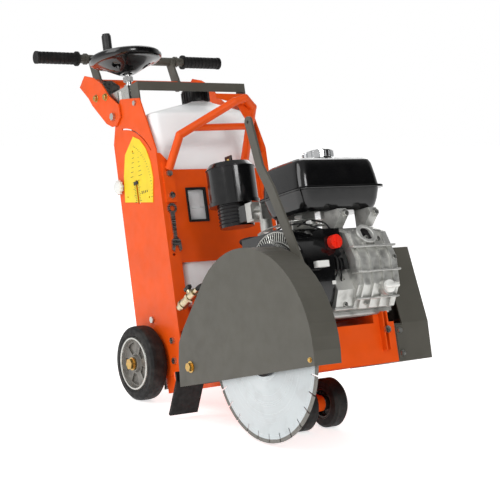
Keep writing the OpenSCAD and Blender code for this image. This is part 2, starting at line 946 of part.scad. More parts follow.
// Two-groove pulley; the belt sits in the flat between its flanges.
module pulley(r, x, z, bore) {
    difference() {
        union() {
            cyl_y(r, pulley_y, pulley_y + pulley_w, x, z, 60);
            for (y = [pulley_y, pulley_y + pulley_w - 4])
                cyl_y(r + flange_lip, y, y + 4, x, z, 60);
        }
        cyl_y(bore, pulley_y - 1, pulley_y + pulley_w + 1, x, z, 60);
    }
}

module shaft_pulley() {
    color(cast) on_chassis()
        pulley(pulley_big, shaft_x, shaft_z, arbor_r + 0.06);
}

module engine_pulley() {
    color(cast) on_chassis()
        pulley(pulley_small, crank_x, crank_z, crank_r + 0.06);
}

// Loop around both pulleys grown by g, in the XZ plane, small pulley first.
function belt_loop(g) =
    let (dx = shaft_x - crank_x,
        dz = shaft_z - crank_z,
        lean = asin((pulley_big - pulley_small) / norm([dx, dz])),
        dir = atan2(dz, dx),
        small_start = dir + 90 + lean,
        small_step = (180 - 2 * lean) / 20,
        big_start = dir - 90 - lean,
        big_step = (180 + 2 * lean) / 20)
    concat(
        [for (i = [0 : 20]) let (a = small_start + i * small_step)
            [crank_x, crank_z] + (pulley_small + g) * [cos(a), sin(a)]],
        [for (i = [0 : 20]) let (a = big_start + i * big_step)
            [shaft_x, shaft_z] + (pulley_big + g) * [cos(a), sin(a)]]);

module drive_belt() {
    color(rubber) on_chassis() difference() {
        plate_y(belt_loop(belt_t), pulley_y + 4.5, pulley_w - 9);
        plate_y(belt_loop(0.35), pulley_y, pulley_w);
    }
}

module belt_guard() {
    outline = [[500, -91], [687, -91], [690, -2], [657, 181], [520, 181],
        [500, 150]];
    inner = [[503, -88], [684, -88], [687, -3], [654.5, 178], [521.5, 178],
        [503, 149]];
    color(charcoal) on_chassis() difference() {
        union() {
            difference() {
                plate_y(outline, 110, 81);
                plate_y(inner, 105, 83);
            }
            box([684, frame_left, -91], [687, 112, -2]);
            box([500, frame_left, -91], [687, 112, -88]);
            box([frame_front, 90, -84], [frame_front + 3, 112, -6]);
        }
        for (z = [-19, -72])
            cyl_x(4.3, 680, 700, 99, z, 20);
    }
}

// ---- Engine ----

module crankcase() {
    color(cast) difference() {
        union() {
            on_chassis() {
                cyl_y(crank_drum_r, -44, 84, crank_x, crank_z, 72);
                box([505, -128, 24], [687, 72, 34]);
                box([515, -88, 30], [690, 84, 90]);
                plate_y([[640, 30], [704, 40], [736, 90], [738, 150],
                    [712, 214], [668, 232], [640, 232]], -40, 122);
                plate_y([[640, 30], [700, 40], [720, 84], [700, 130],
                    [640, 130]], -88, 50);
                for (y = [-30, 0, 30, 60])
                    plate_y([[640, 34], [712, 40], [744, 92], [744, 150],
                        [716, 218], [640, 236]], y, 4);
                cyl_x(20, 700, 744, oil_y, oil_z);
                cyl_y(70, 84, 92, crank_x, crank_z, 60);
                for (y = [-40, 40])
                    box([530, y, 190], [560, y + 40, 230]);
            }
            on_cylinder() box([-54, -64, -60], [50, 64, 4]);
        }
        on_chassis() {
            cyl_y(crank_r + 0.07, -130, 130, crank_x, crank_z, 60);
            cyl_x(10, 720, 750, oil_y, oil_z, 24);
            for (y = [-102, 46])
                for (x = [525, 668])
                    cyl_z(5.2, 20, 40, x, y, 20);
        }
    }
}

module on_cylinder() {
    on_chassis()
        translate([500, -2, 172])
            rotate([0, -65, 0])
                children();
}

module cylinder_fins() {
    for (i = [0 : 6])
        translate([0, 0, 12 + i * 13])
            rbox([-58, -66, 0], [52, 66, 5], 14);
}

module engine_cylinder() {
    color(cast) on_cylinder() {
        cyl_z(46, 4, 104, 0, 0);
        cylinder_fins();
        rbox([-56, -62, 100], [50, 62, 128], 16);
        rbox([-46, -50, 128], [40, 50, 148], 14);
    }
}

module fan_cowl() {
    color(black) on_chassis() difference() {
        union() {
            cyl_y(118, -160, -44.5, crank_x, fan_z, 72);
            box([480, -160, 60], [600, -88.5, 243]);
            box([470, -160, 160], [520, -96, 243]);
            box([664, -96, 160], [switch_x - 0.3, -50, 228]);
        }
        cyl_y(108, -156, -40, crank_x, fan_z, 72);
        cyl_y(70, -170, -150, crank_x, fan_z, 60);
        box([476, -156, 66], [590, -88, 237]);
        box([480, -180, -30], [730, -40, 34.5]);
        box([480, -88.5, 30], [745, -40, 131]);
        box([460, -88.5, 30], [541, -40, 260]);
    }
}

module recoil_cover() {
    color(black) on_chassis() difference() {
        union() {
            cyl_y(88, -188, -160.4, crank_x, fan_z, 72);
            cyl_y(60, -195, -187, crank_x, fan_z, 60);
        }
        cyl_y(80, -184, -155, crank_x, fan_z, 60);
        for (i = [0 : 29])
            translate([crank_x, 0, fan_z])
                rotate([0, i * 12, 0])
                    box([40, -200, -2], [78, -150, 2]);
    }
}

module crankshaft() {
    color(steel) on_chassis() {
        cyl_y(crank_r, -158, pulley_y + pulley_w + 4, crank_x, crank_z, 60);
        cyl_y(flywheel_r, -146, -112, crank_x, crank_z, 60);
        cyl_y(15, pulley_y + pulley_w + 0.3, pulley_y + pulley_w + 8,
            crank_x, crank_z, 6);
    }
}

module starter_grip() {
    color(white) on_chassis() {
        rbox([723, -151, 138], [741, -115, 152], 6);
        box([717.6, -135, 142], [724, -131, 148]);
    }
}

module fuel_tank() {
    color(black) on_chassis() difference() {
        union() {
            rbox([528, -110, 276], [672, 104, 290], 26);
            rbox([514, -124, 290], [686, 118, 325], 28);
            rbox([506, -132, 325], [694, 126, 331], 30);
            rbox([514, -124, 331], [686, 118, 376], 28);
            rbox([526, -112, 376], [674, 106, 392], 26);
            rbox([544, -92, 392], [656, 86, 400], 24);
            cyl_z(28, 400, 412, tank_x, 0);
        }
        box([522, -116, 294], [678, 110, 370]);
        cyl_z(22, 360, 420, tank_x, 0);
    }
}

module fuel_cap() {
    color(steel) on_chassis() difference() {
        union() {
            cyl_z(35, 410, 428, tank_x, 0, 48);
            for (i = [0 : 15])
                translate([tank_x, 0, 0])
                    rotate([0, 0, i * 22.5])
                        box([33, -4, 411], [38, 4, 426]);
            cyl_z(20, 428, 432, tank_x, 0);
        }
        cyl_z(28.4, 405, 414, tank_x, 0);
    }
}

module tank_bracket() {
    color(cast) on_chassis() {
        plate_y([[640, 237], [668, 233], [700, 262], [690, 275.7],
            [640, 275.7]], -34, 26);
        plate_y([[640, 237], [668, 233], [700, 262], [690, 275.7],
            [640, 275.7]], 56, 26);
        for (y = [-40, 40])
            box([530, y, 230], [560, y + 40, 275.7]);
    }
}

module air_filter() {
    color(black) on_chassis() {
        cyl_z(62, 362, 452, filter_x, filter_y, 60);
        translate([filter_x, filter_y, 452])
            cylinder(h = 12, r1 = 62, r2 = 52, $fn = 60);
        cyl_z(65, 356, 366, filter_x, filter_y, 60);
        cyl_z(44, 300, 362, filter_x, filter_y, 48);
        box([filter_x, filter_y - 22, 304], [filter_x + 76, filter_y + 22, 344]);
        cyl_z(4, 460, 476, filter_x, filter_y, 16);
        box([filter_x - 14, filter_y - 2, 470], [filter_x + 14, filter_y + 2, 484]);
    }
}

module carburettor() {
    color(cast) on_chassis() {
        box([391.3, -82, 299], [420, -38, 346]);
        cyl_x(17, 415, 459, -60, 319);
        cyl_z(15, 268, 312, 440, -60);
        box([456, -84, 296], [462, -36, 342]);
        cyl_y(4, -100, -70, 440, 319, 20);
        box([434, -104, 300], [446, -98, 336]);
    }
}

module muffler() {
    color(steel) on_chassis() {
        rbox([372, 10, 286], [500, 128, 356], 22);
        cyl_x(12, 350, 374, 90, 320);
        box([430, 20, 262], [460, 60, 288]);
    }
}

module engine_switch() {
    color(red) on_chassis() {
        cyl_x(16, switch_x, switch_x + 15, switch_y, switch_z, 32);
        box([switch_x + 15, switch_y - 3, switch_z - 14],
            [switch_x + 21, switch_y + 3, switch_z + 14]);
    }
}

module zinc_fasteners() {
    color(zinc) on_chassis() {
        for (s = [-1, 1])
            for (p = [[33, 108], [122, 43], [119, -9]])
                bolt_y(p[0], p[1], s * column_y, s, 14, 5);
        for (z = [474, 416])
            bolt_x(-148, z, 162, 16, 5);
        for (z = [474, 438])
            bolt_x(86, z, 158, 12, 5);
        for (s = [-1, 1])
            bolt_y(82, 682, s * column_y, s, 10, 4);
        for (z = [-19, -72])
            bolt_x(99, z, 690, 10, 4);
        bolt_x(52, -14, 702, 24, 5);
        for (s = [-1, 1])
            bolt_y(handle_pivot_x, handle_pivot_z, s * 181.3, s, 10.5,
                handle_pin_r);
    }
}

base_frame();
column_right();
column_left();
cross_panel();
top_cross_plate();
lifting_loop();
water_tank();
tank_cap();
water_valve();
valve_knob();
water_hose();
scale_plate();
depth_pointer();
spindle_bracket();
lift_screw();
screw_nut();
handwheel();
handwheel_knob();
front_axle_arm();
front_wheel_shaft();
front_tyre_left();
front_rim_left();
front_tyre_right();
front_rim_right();
axle_pivot_shaft();
rear_axle_stubs();
rear_tyre_left();
rear_rim_left();
rear_tyre_right();
rear_rim_right();
handle_plates();
handlebar();
handle_grips();
blade_guard();
guard_lift_bar();
guard_bolts();
splash_flap();
blade_core();
blade_segments();
blade_flanges();
blade_shaft();
bearing_housings();
shaft_pulley();
drive_belt();
engine_pulley();
belt_guard();
crankcase();
engine_cylinder();  // cylinder
fan_cowl();
recoil_cover();
crankshaft();
starter_grip();
fuel_tank();
fuel_cap();
tank_bracket();
air_filter();
muffler();
carburettor();
engine_switch();
zinc_fasteners();
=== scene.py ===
"""Looks of a walk-behind concrete saw: its finishes, small fittings and studio.

Shapes are drawn in millimetres in the chassis frame: X forward, Y left, Z up,
with its origin on the rear wheels' centre line and its nose pitched up, because
the blade is raised. to_object takes them to the row frame.
"""
import json
import math

import bmesh
import bpy
from mathutils import Matrix, Vector


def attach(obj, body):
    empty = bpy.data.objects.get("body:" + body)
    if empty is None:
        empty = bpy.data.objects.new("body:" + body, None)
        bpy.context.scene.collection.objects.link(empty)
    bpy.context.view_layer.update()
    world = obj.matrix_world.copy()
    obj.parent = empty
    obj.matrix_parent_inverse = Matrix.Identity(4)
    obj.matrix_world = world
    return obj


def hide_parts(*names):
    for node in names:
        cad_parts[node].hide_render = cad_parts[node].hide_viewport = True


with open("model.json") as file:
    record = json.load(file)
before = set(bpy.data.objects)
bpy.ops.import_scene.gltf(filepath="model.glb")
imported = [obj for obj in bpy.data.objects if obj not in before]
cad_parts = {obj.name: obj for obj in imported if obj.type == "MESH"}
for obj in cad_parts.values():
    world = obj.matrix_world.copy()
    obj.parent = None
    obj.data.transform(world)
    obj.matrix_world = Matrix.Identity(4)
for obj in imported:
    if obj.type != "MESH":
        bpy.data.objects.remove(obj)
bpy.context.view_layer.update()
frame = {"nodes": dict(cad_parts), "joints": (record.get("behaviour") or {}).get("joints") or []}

bl_info = {
    "name": "Walk-behind Concrete Saw",
    "version": (1, 0, 0),
    "blender": (4, 5, 0),
    "location": "3D View > Sidebar > Saw",
    "description": "Finishes and details a walk-behind concrete saw and its studio",
    "category": "Object",
}

MM = 0.001  # a millimetre in the scene's metres
JOINTS = {joint["name"]: joint for joint in frame["joints"]}


def chassis_frame():
    """The chassis frame in the row frame, from the rear axle and the pointer's travel."""
    axle = Vector(JOINTS["rear_wheel_left_spin"]["pos_m"])
    down = Vector(JOINTS["pointer_slide"]["axis"])
    pitch = math.atan2(down.x, -down.z)
    place = Matrix.Translation(Vector((axle.x, 0.0, axle.z)))
    return place @ Matrix.Rotation(-pitch, 4, "Y") @ Matrix.Scale(MM, 4)


CHASSIS = chassis_frame()
TO_CHASSIS = CHASSIS.inverted()


def joint_spot(name):
    """A joint's pivot in chassis millimetres."""
    return TO_CHASSIS @ Vector(JOINTS[name]["pos_m"])


def node_span(node):
    """Lowest and highest corners of a CAD node in chassis millimetres."""
    spots = [TO_CHASSIS @ v.co for v in frame["nodes"][node].data.vertices]
    low = Vector([min(s[i] for s in spots) for i in range(3)])
    high = Vector([max(s[i] for s in spots) for i in range(3)])
    return low, high


# ---- Settings ----

def hex_to_linear(code):
    """Linear RGBA of an sRGB hex colour."""
    channels = [int(code[i:i + 2], 16) / 255 for i in (1, 3, 5)]
    linear = [c / 12.92 if c <= 0.04045 else ((c + 0.055) / 1.055) ** 2.4 for c in channels]
    return (*linear, 1.0)


def to_linear(colour):
    """Linear RGBA of a hex code, or of a colour that is linear already."""
    return hex_to_linear(colour) if isinstance(colour, str) else tuple(colour)


def shaded(colour, scale, lift=0.0):
    """A darker or paler version of a colour."""
    return (*[min(1.0, c * scale + lift) for c in to_linear(colour)[:3]], 1.0)


def colour_setting(name, description, code):
    return bpy.props.FloatVectorProperty(
        name=name, description=description, subtype="COLOR", size=4,
        min=0.0, max=1.0, default=hex_to_linear(code))


def length_setting(name, description, mm):
    return bpy.props.FloatProperty(
        name=name, description=description, default=mm * MM, min=0.0,
        unit="LENGTH", subtype="DISTANCE", precision=4)


def amount_setting(name, description, default):
    return bpy.props.FloatProperty(name=name, description=description, default=default, min=0.0)


class SawColours(bpy.types.PropertyGroup):
    """Colours that an owner would choose."""
    frame_paint: colour_setting("Frame paint", "Powder coat of the frame and columns", "#E65208")
    guard_paint: colour_setting("Guard paint", "Powder coat of the guards and handle", "#53514A")
    engine_enamel: colour_setting("Engine enamel", "Gloss enamel of the tank and cowl", "#0B0B0C")
    tank_plastic: colour_setting("Tank plastic", "Blow-moulded water tank", "#F8F9F9")
    scale_print: colour_setting("Scale print", "Ground colour of the depth scale", "#E8CC10")
    switch_plastic: colour_setting("Switch plastic", "Engine switch knob", "#E02A17")


class SawSizes(bpy.types.PropertyGroup):
    """Sizes of the small fittings."""
    seam_lip: length_setting("Seam lip", "How far the fuel tank's seam stands out", 7.5)
    tick_width: length_setting("Tick width", "Width of a line on the depth scale", 1.2)
    trim_width: length_setting("Trim width", "Width of the rubber round the window", 5.0)
    lead_radius: length_setting("Lead radius", "Radius of the spark plug lead", 3.5)


class StudioSettings(bpy.types.PropertyGroup):
    """Light and floor of the studio."""
    key_power: amount_setting("Key power", "Power of the main softbox in watts", 70.0)
    fill_power: amount_setting("Fill power", "Power of the fill softbox in watts", 22.0)
    sky_strength: amount_setting("Sky strength", "Strength of the surrounding white", 0.62)
    floor_glow: amount_setting("Floor glow", "Light that the floor gives back", 0.66)
    floor: colour_setting("Floor", "Pale floor", "#F4F4F3")


# ---- Material building ----

MIDDLE = (0.35, 0.65)  # the band that most values of a cloudy pattern lie in


def add_node(tree, kind, links=None, **settings):
    """Adds a shader node with its settings; links names inputs and their values or sockets."""
    node = tree.nodes.new("ShaderNode" + kind)
    for key, value in settings.items():
        setattr(node, key, value)
    for key, value in (links or {}).items():
        socket = node.inputs[key]
        if isinstance(value, bpy.types.NodeSocket):
            tree.links.new(value, socket)
        else:
            socket.default_value = value
    return node


class Finish:
    """A material under construction, with its patterns laid out in object coordinates."""

    def __init__(self, name, colour, metallic, roughness, others=None):
        self.material = bpy.data.materials.new(name)
        self.material.use_nodes = True
        self.tree = self.material.node_tree
        self.shader = self.tree.nodes["Principled BSDF"]
        self.spot = add_node(self.tree, "TexCoord").outputs["Object"]
        self.colour = to_linear(colour)
        self.normal = None
        self.material.diffuse_color = self.colour
        values = {"Base Color": self.colour, "Metallic": metallic, "Roughness": roughness}
        for key, value in (values | (others or {})).items():
            self.shader.inputs[key].default_value = value

    def clouds(self, size_mm, detail=3.0, stretch=None):
        """A cloudy pattern with blobs about size_mm across, drawn out where stretch is small."""
        spot = self.spot
        if stretch:
            spot = add_node(self.tree, "Mapping", {
                "Vector": spot, "Scale": stretch}).outputs[0]
        return add_node(self.tree, "TexNoise", {
            "Vector": spot, "Scale": 1 / (size_mm * MM), "Detail": detail}).outputs["Fac"]

    def rings(self, centre, spacing_mm):
        """Fine rings about an axis along Y through centre, as a lathe or grinder leaves."""
        moved = add_node(self.tree, "VectorMath", {0: self.spot, 1: centre},
                         operation="SUBTRACT").outputs[0]
        flat = add_node(self.tree, "VectorMath", {0: moved, 1: (1, 0, 1)},
                        operation="MULTIPLY").outputs[0]
        reach = add_node(self.tree, "VectorMath", {0: flat}, operation="LENGTH")
        line = add_node(self.tree, "CombineXYZ", {"X": reach.outputs["Value"]}).outputs[0]
        return add_node(self.tree, "TexNoise", {
            "Vector": line, "Scale": 1 / (spacing_mm * MM), "Detail": 2.0}).outputs["Fac"]

    def tint(self, source, colour, most, band=MIDDLE):
        """Lays colour over the present one, from none to most as source crosses the band."""
        factor = add_node(self.tree, "MapRange", {
            "Value": source, "From Min": band[0], "From Max": band[1],
            "To Min": 0.0, "To Max": most}).outputs[0]
        self.colour = add_node(self.tree, "Mix", data_type="RGBA", links={
            "Factor": factor, "A": self.colour, "B": to_linear(colour)}).outputs["Result"]
        self.tree.links.new(self.colour, self.shader.inputs["Base Color"])

    def worn_edges(self, width_mm, patch_mm, least, most, colour):
        """Lays colour along sharp edges, between least and most in patches patch_mm long."""
        rounded = add_node(self.tree, "Bevel", {"Radius": width_mm * MM}, samples=4)
        flat = add_node(self.tree, "NewGeometry")
        agreement = add_node(self.tree, "VectorMath", {
            0: rounded.outputs[0], 1: flat.outputs["Normal"]}, operation="DOT_PRODUCT")
        edge = add_node(self.tree, "MapRange", {
            "Value": agreement.outputs["Value"], "From Min": 0.90, "From Max": 0.99,
            "To Min": 1.0, "To Max": 0.0})
        patches = add_node(self.tree, "MapRange", {
            "Value": self.clouds(patch_mm), "From Min": MIDDLE[0], "From Max": MIDDLE[1],
            "To Min": least, "To Max": most})
        worn = add_node(self.tree, "Math", {
            0: edge.outputs[0], 1: patches.outputs[0]}, operation="MULTIPLY")
        self.tint(worn.outputs[0], colour, 1.0, (0.0, 1.0))

    def rough(self, source, low, high):
        """Roughness from low to high as source crosses the middle band."""
        spread = add_node(self.tree, "MapRange", {
            "Value": source, "From Min": MIDDLE[0], "From Max": MIDDLE[1],
            "To Min": low, "To Max": high}).outputs[0]
        self.tree.links.new(spread, self.shader.inputs["Roughness"])

    def bump(self, source, height_mm, strength):
        """Raises the surface by height_mm where source is high, over the bumps it has."""
        links = {"Height": source, "Distance": height_mm * MM, "Strength": strength}
        if self.normal is not None:
            links["Normal"] = self.normal
        self.normal = add_node(self.tree, "Bump", links).outputs[0]
        self.tree.links.new(self.normal, self.shader.inputs["Normal"])


def powder_coated_steel(name, colour):
    """Polyester powder baked on steel: satin, faint orange peel, rubbed edges."""
    f = Finish(name, colour, 0.0, 0.36, {"Specular IOR Level": 0.28})
    # Cloudy tone of a few per cent, as sprayed powder settles unevenly.
    f.tint(f.clouds(70, 4), shaded(colour, 0.86), 0.7)
    # Rubbed corners show a paler, duller line with gaps.
    f.worn_edges(1.0, 9, 0.0, 0.55, shaded(colour, 1.25, 0.03))
    f.rough(f.clouds(28), 0.38, 0.52)
    # Orange peel is about 1 mm, drawn at 2.5 mm so that it shows.
    f.bump(f.clouds(2.5, 2), 0.05, 0.35)
    return f.material


def gloss_enamel(name, colour):
    """Stoved enamel on pressed steel: deep gloss with soft reflections and dust."""
    f = Finish(name, colour, 0.0, 0.16, {
        "Specular IOR Level": 0.35, "Coat Weight": 0.35, "Coat Roughness": 0.05})
    f.tint(f.clouds(45, 5), "#3A3936", 0.10, (0.5, 0.75))
    f.rough(f.clouds(22), 0.10, 0.22)
    f.bump(f.clouds(14, 2), 0.10, 0.12)
    return f.material


def blow_moulded_polyethylene(name, colour):
    """Natural polyethylene: milky, lets light in, gently wavy wall."""
    f = Finish(name, colour, 0.0, 0.38, {
        "Subsurface Weight": 0.35, "Subsurface Radius": (1.0, 1.0, 1.0),
        "Subsurface Scale": 0.012})
    f.tint(f.clouds(160, 2), "#E6EAEC", 0.5)
    f.rough(f.clouds(30), 0.32, 0.46)
    f.bump(f.clouds(55, 1), 0.8, 0.25)
    f.bump(f.clouds(1.8, 2), 0.04, 0.25)
    return f.material


def moulded_abs(name, colour, roughness=0.45):
    """ABS from a spark-eroded mould: an even fine grain, and corners rubbed paler."""
    f = Finish(name, colour, 0.0, roughness)
    # The grain is about 0.3 mm, drawn at 1 mm so that it shows.
    f.bump(f.clouds(1.0, 1), 0.05, 0.4)
    f.rough(f.clouds(12), roughness - 0.06, roughness + 0.08)
    f.worn_edges(0.8, 6, 0.1, 0.6, shaded(colour, 1.3, 0.015))
    return f.material


def moulded_rubber(name, colour, dust):
    """Cured black rubber: matt, with a bloom and dust in the low places."""
    f = Finish(name, colour, 0.0, 0.62, {"Specular IOR Level": 0.3})
    f.tint(f.clouds(24, 5), "#55524C", dust, (0.45, 0.75))
    f.rough(f.clouds(10), 0.52, 0.72)
    f.bump(f.clouds(1.4), 0.10, 0.5)
    return f.material


def tumbled_die_cast_aluminium(name, colour):
    """Die-cast aluminium, shot-blasted: pale grey, grainy, oil-darkened hollows."""
    f = Finish(name, colour, 0.75, 0.42)
    f.tint(f.clouds(26, 5), "#5C5B57", 0.55, (0.5, 0.72))
    f.worn_edges(1.4, 7, 0.3, 0.9, "#E9E9E6")
    f.rough(f.clouds(9), 0.34, 0.54)
    # Blast pits are about 0.5 mm, drawn at 1.5 mm so that they show.
    f.bump(f.clouds(1.5, 4), 0.12, 0.6)
    return f.material


def silver_painted_casting(name, colour):
    """Cast wheel rim under silver-grey paint: sandy skin, worn paler edges."""
    f = Finish(name, colour, 0.35, 0.44)
    f.tint(f.clouds(18, 5), "#3A3835", 0.5)
    f.worn_edges(1.6, 8, 0.3, 0.9, "#B5B2AB")
    f.rough(f.clouds(8), 0.36, 0.56)
    f.bump(f.clouds(2.0, 4), 0.14, 0.55)
    return f.material


def zinc_plated_steel(name, colour):
    """Bright zinc plate: silvery with a faint cloudy spangle."""
    f = Finish(name, colour, 1.0, 0.3)
    # Spangles are about 7 mm across.
    cells = add_node(f.tree, "TexVoronoi", {"Vector": f.spot, "Scale": 1 / (7 * MM)})
    f.tint(cells.outputs["Color"], "#8F8F8A", 0.22, (0.0, 1.0))
    f.rough(f.clouds(11), 0.22, 0.42)
    f.bump(f.clouds(2.2), 0.03, 0.4)
    return f.material


def yellow_passivated_zinc(name):
    """Zinc under yellow chromate: gold with green and rose bands."""
    f = Finish(name, "#C9A254", 1.0, 0.28)
    f.tint(f.clouds(5, 4), "#9C9A5C", 0.6)
    f.tint(f.clouds(8), "#C08468", 0.35)
    f.rough(f.clouds(6), 0.20, 0.38)
    f.bump(f.clouds(1.2), 0.03, 0.4)
    return f.material


def ground_steel(name, colour, roughness=0.25):
    """Ground bar: bright, with fine scratches along it."""
    f = Finish(name, colour, 1.0, roughness)
    scratches = f.clouds(3.0, 4, (1, 0.08, 1))
    f.rough(scratches, roughness - 0.07, roughness + 0.14)
    f.bump(scratches, 0.02, 0.4)
    f.tint(f.clouds(20, 4), "#8A8884", 0.3)
    return f.material


def ring_ground_disc_steel(name):
    """Tensioned blade steel, ground in circles: broad pale sheen, fine rings."""
    f = Finish(name, "#C6CCCE", 1.0, 0.34, {"Anisotropic": 0.8})
    # Grinding rings are about 0.3 mm apart, drawn at 2 mm so that they show.
    rings = f.rings(Vector(JOINTS["blade_spin"]["pos_m"]), 2.0)
    f.rough(rings, 0.26, 0.44)
    f.bump(rings, 0.02, 0.35)
    f.tint(f.clouds(35, 5), "#A2A3A3", 0.3, (0.5, 0.75))
    # Rings scatter light across themselves, so bright fans run out from the centre.
    around = add_node(f.tree, "Tangent", direction_type="RADIAL", axis="Y").outputs[0]
    f.tree.links.new(around, f.shader.inputs["Tangent"])
    return f.material


def sintered_diamond_segment(name):
    """Sintered bond with grit: dull grey, speckled, rough."""
    f = Finish(name, "#8E8C87", 0.8, 0.55)
    # Grit is about 0.4 mm, drawn at 1.2 mm so that it shows.
    grit = f.clouds(1.2, 2)
    f.tint(grit, "#5A5752", 0.8)
    f.bump(grit, 0.15, 0.8)
    return f.material


def blackened_steel(name):
    """Black-oxide steel: dark, slightly oily, brown in places."""
    f = Finish(name, "#26262A", 0.9, 0.38)
    f.tint(f.clouds(14, 5), "#3A322C", 0.4)
    f.rough(f.clouds(6), 0.30, 0.50)
    f.bump(f.clouds(1.6), 0.04, 0.4)
    return f.material


def machined_cast_iron(name):
    """Grey iron, turned: dark, porous, a little rust in the pores."""
    f = Finish(name, "#55534F", 0.85, 0.48)
    f.tint(f.clouds(12, 5), "#5E4030", 0.35, (0.5, 0.72))
    f.rough(f.clouds(5), 0.40, 0.62)
    f.bump(f.clouds(1.6, 4), 0.10, 0.6)
    return f.material


def chrome_plate(name):
    """Polished chromium: near-mirror with fine handling haze."""
    f = Finish(name, "#DCDDDE", 1.0, 0.08)
    f.rough(f.clouds(9), 0.05, 0.16)
    return f.material


def machined_brass(name):
    """Turned brass: warm, softly tarnished."""
    f = Finish(name, "#CFC3A6", 1.0, 0.26)
    f.tint(f.clouds(9, 4), "#A08A5C", 0.5)
    f.rough(f.clouds(4), 0.20, 0.38)
    f.bump(f.clouds(1.2, 2, (1, 0.2, 1)), 0.03, 0.4)
    return f.material


def heat_stained_steel(name):
    """Exhaust sheet: straw, brown and blue heat bands."""
    f = Finish(name, "#6B655C", 0.9, 0.42)
    f.tint(f.clouds(60), "#6E5236", 0.7)
    f.tint(f.clouds(38), "#3F4656", 0.4, (0.5, 0.7))
    f.rough(f.clouds(9), 0.34, 0.56)
    f.bump(f.clouds(2.0), 0.05, 0.4)
    return f.material


def screen_printed_aluminium(name, colour):
    """Painted scale plate: flat bright ink, a little orange peel and scuffing."""
    f = Finish(name, colour, 0.0, 0.42)
    f.tint(f.clouds(30, 4), "#D2B20C", 0.35)
    f.rough(f.clouds(12), 0.36, 0.50)
    f.bump(f.clouds(2.0, 2), 0.03, 0.3)
    return f.material


def make_finishes(colours):
    """Every finish by the record's slot name."""
    return {
        "orange_paint": powder_coated_steel("powder_coated_steel_orange", colours.frame_paint),
        "charcoal_paint": powder_coated_steel("powder_coated_steel_charcoal", colours.guard_paint),
        "black_enamel": gloss_enamel("gloss_enamel_black", colours.engine_enamel),
        "white_tank": blow_moulded_polyethylene("blow_moulded_polyethylene", colours.tank_plastic),
        "black_plastic": moulded_abs("moulded_abs_black", "#161617"),
        "black_rubber": moulded_rubber("moulded_rubber_black", "#0E0E0E", 0.08),
        "tyre": moulded_rubber("cured_tyre_rubber", "#121212", 0.22),
        "rim_grey": silver_painted_casting("silver_painted_casting", "#7C7973"),
        "rim_dark": silver_painted_casting("dark_painted_casting", "#2E2C2A"),
        "scale_yellow": screen_printed_aluminium("screen_printed_aluminium", colours.scale_print),
        "zinc": zinc_plated_steel("zinc_plated_steel", "#C6C6C1"),
        "gold_zinc": yellow_passivated_zinc("yellow_passivated_zinc"),
        "bright_steel": ground_steel("ground_steel", "#B9B9B8"),
        "blade_steel": ring_ground_disc_steel("ring_ground_disc_steel"),
        "segment": sintered_diamond_segment("sintered_diamond_segment"),
        "dark_steel": blackened_steel("blackened_steel"),
        "cast_iron": machined_cast_iron("machined_cast_iron"),
        "die_cast": tumbled_die_cast_aluminium("tumbled_die_cast_aluminium", "#C4C4C0"),
        "chrome": chrome_plate("chrome_plate"),
        "brass": machined_brass("machined_brass"),
        "red_plastic": moulded_abs("moulded_abs_red", colours.switch_plastic, 0.30),
        "white_plastic": moulded_abs("moulded_nylon_white", "#DEDEDA", 0.36),
        "heat_steel": heat_stained_steel("heat_stained_steel"),
    }


FINISHES = {}


def finish(slot):
    """The material of a slot, made once."""
    if not FINISHES:
        FINISHES.update(make_finishes(bpy.context.scene.saw_colours))
    return FINISHES[slot]


# ---- Shape building, in chassis millimetres ----

FORWARD, RIGHT, UP = (1, 0, 0), (0, -1, 0), (0, 0, 1)
EMBED = 0.1  # how far stacked turned parts sink into each other


def polar(radius, degrees):
    """The two coordinates of a spot on a circle round the origin."""
    angle = math.radians(degrees)
    return radius * math.cos(angle), radius * math.sin(angle)


def facing(centre, axis):
    """The place at centre whose Z runs along axis."""
    turn = Vector(UP).rotation_difference(Vector(axis)).to_matrix().to_4x4()
    return Matrix.Translation(Vector(centre)) @ turn


def skin(bm, rings, capped):
    """Faces between rings of one count of points, and over both ends if capped."""
    for low, high in zip(rings, rings[1:]):
        for i in range(len(low)):
            j = (i + 1) % len(low)
            corners = list(dict.fromkeys([low[i], low[j], high[j], high[i]]))
            if len(corners) > 2:
                bm.faces.new(corners)
    if capped:
        bm.faces.new(rings[0][::-1])
        bm.faces.new(rings[-1])


def lathe(bm, profile, centre, axis, steps=48):
    """A turned solid: profile is (radius, height) pairs, closed on the axis at both ends."""
    place = facing(centre, axis)
    rings = []
    for radius, height in profile:
        if radius:
            rings.append([bm.verts.new(place @ Vector((*polar(radius, 360 * i / steps), height)))
                          for i in range(steps)])
        else:
            rings.append([bm.verts.new(place @ Vector((0, 0, height)))] * steps)
    skin(bm, rings, capped=False)


def ring_band(bm, profile, centre, axis, steps=64):
    """A turned ring: profile is a closed loop of (radius, height) pairs."""
    lathe(bm, profile + profile[:1], centre, axis, steps)
    bmesh.ops.remove_doubles(bm, verts=bm.verts, dist=1e-4)


def rounded_outline(corners, radius, steps=6):
    """Corner points replaced by arcs of up to radius, the same count whatever the shape."""
    spots = [Vector(c) for c in corners]
    outline = []
    for before, corner, after in zip(spots[-1:] + spots[:-1], spots, spots[1:] + spots[:1]):
        to_before, to_after = before - corner, after - corner
        reach = min(radius, 0.49 * to_before.length, 0.49 * to_after.length)
        start = corner + to_before.normalized() * reach
        end = corner + to_after.normalized() * reach
        for k in range(steps + 1):
            t = k / steps
            outline.append(start * (1 - t) ** 2 + corner * 2 * t * (1 - t) + end * t * t)
    return outline


def loft(bm, layers, place=Matrix.Identity(4)):
    """A closed solid through (height, outline) layers that all have one count of points."""
    skin(bm, [[bm.verts.new(place @ Vector((*spot, z))) for spot in outline]
              for z, outline in layers], capped=True)


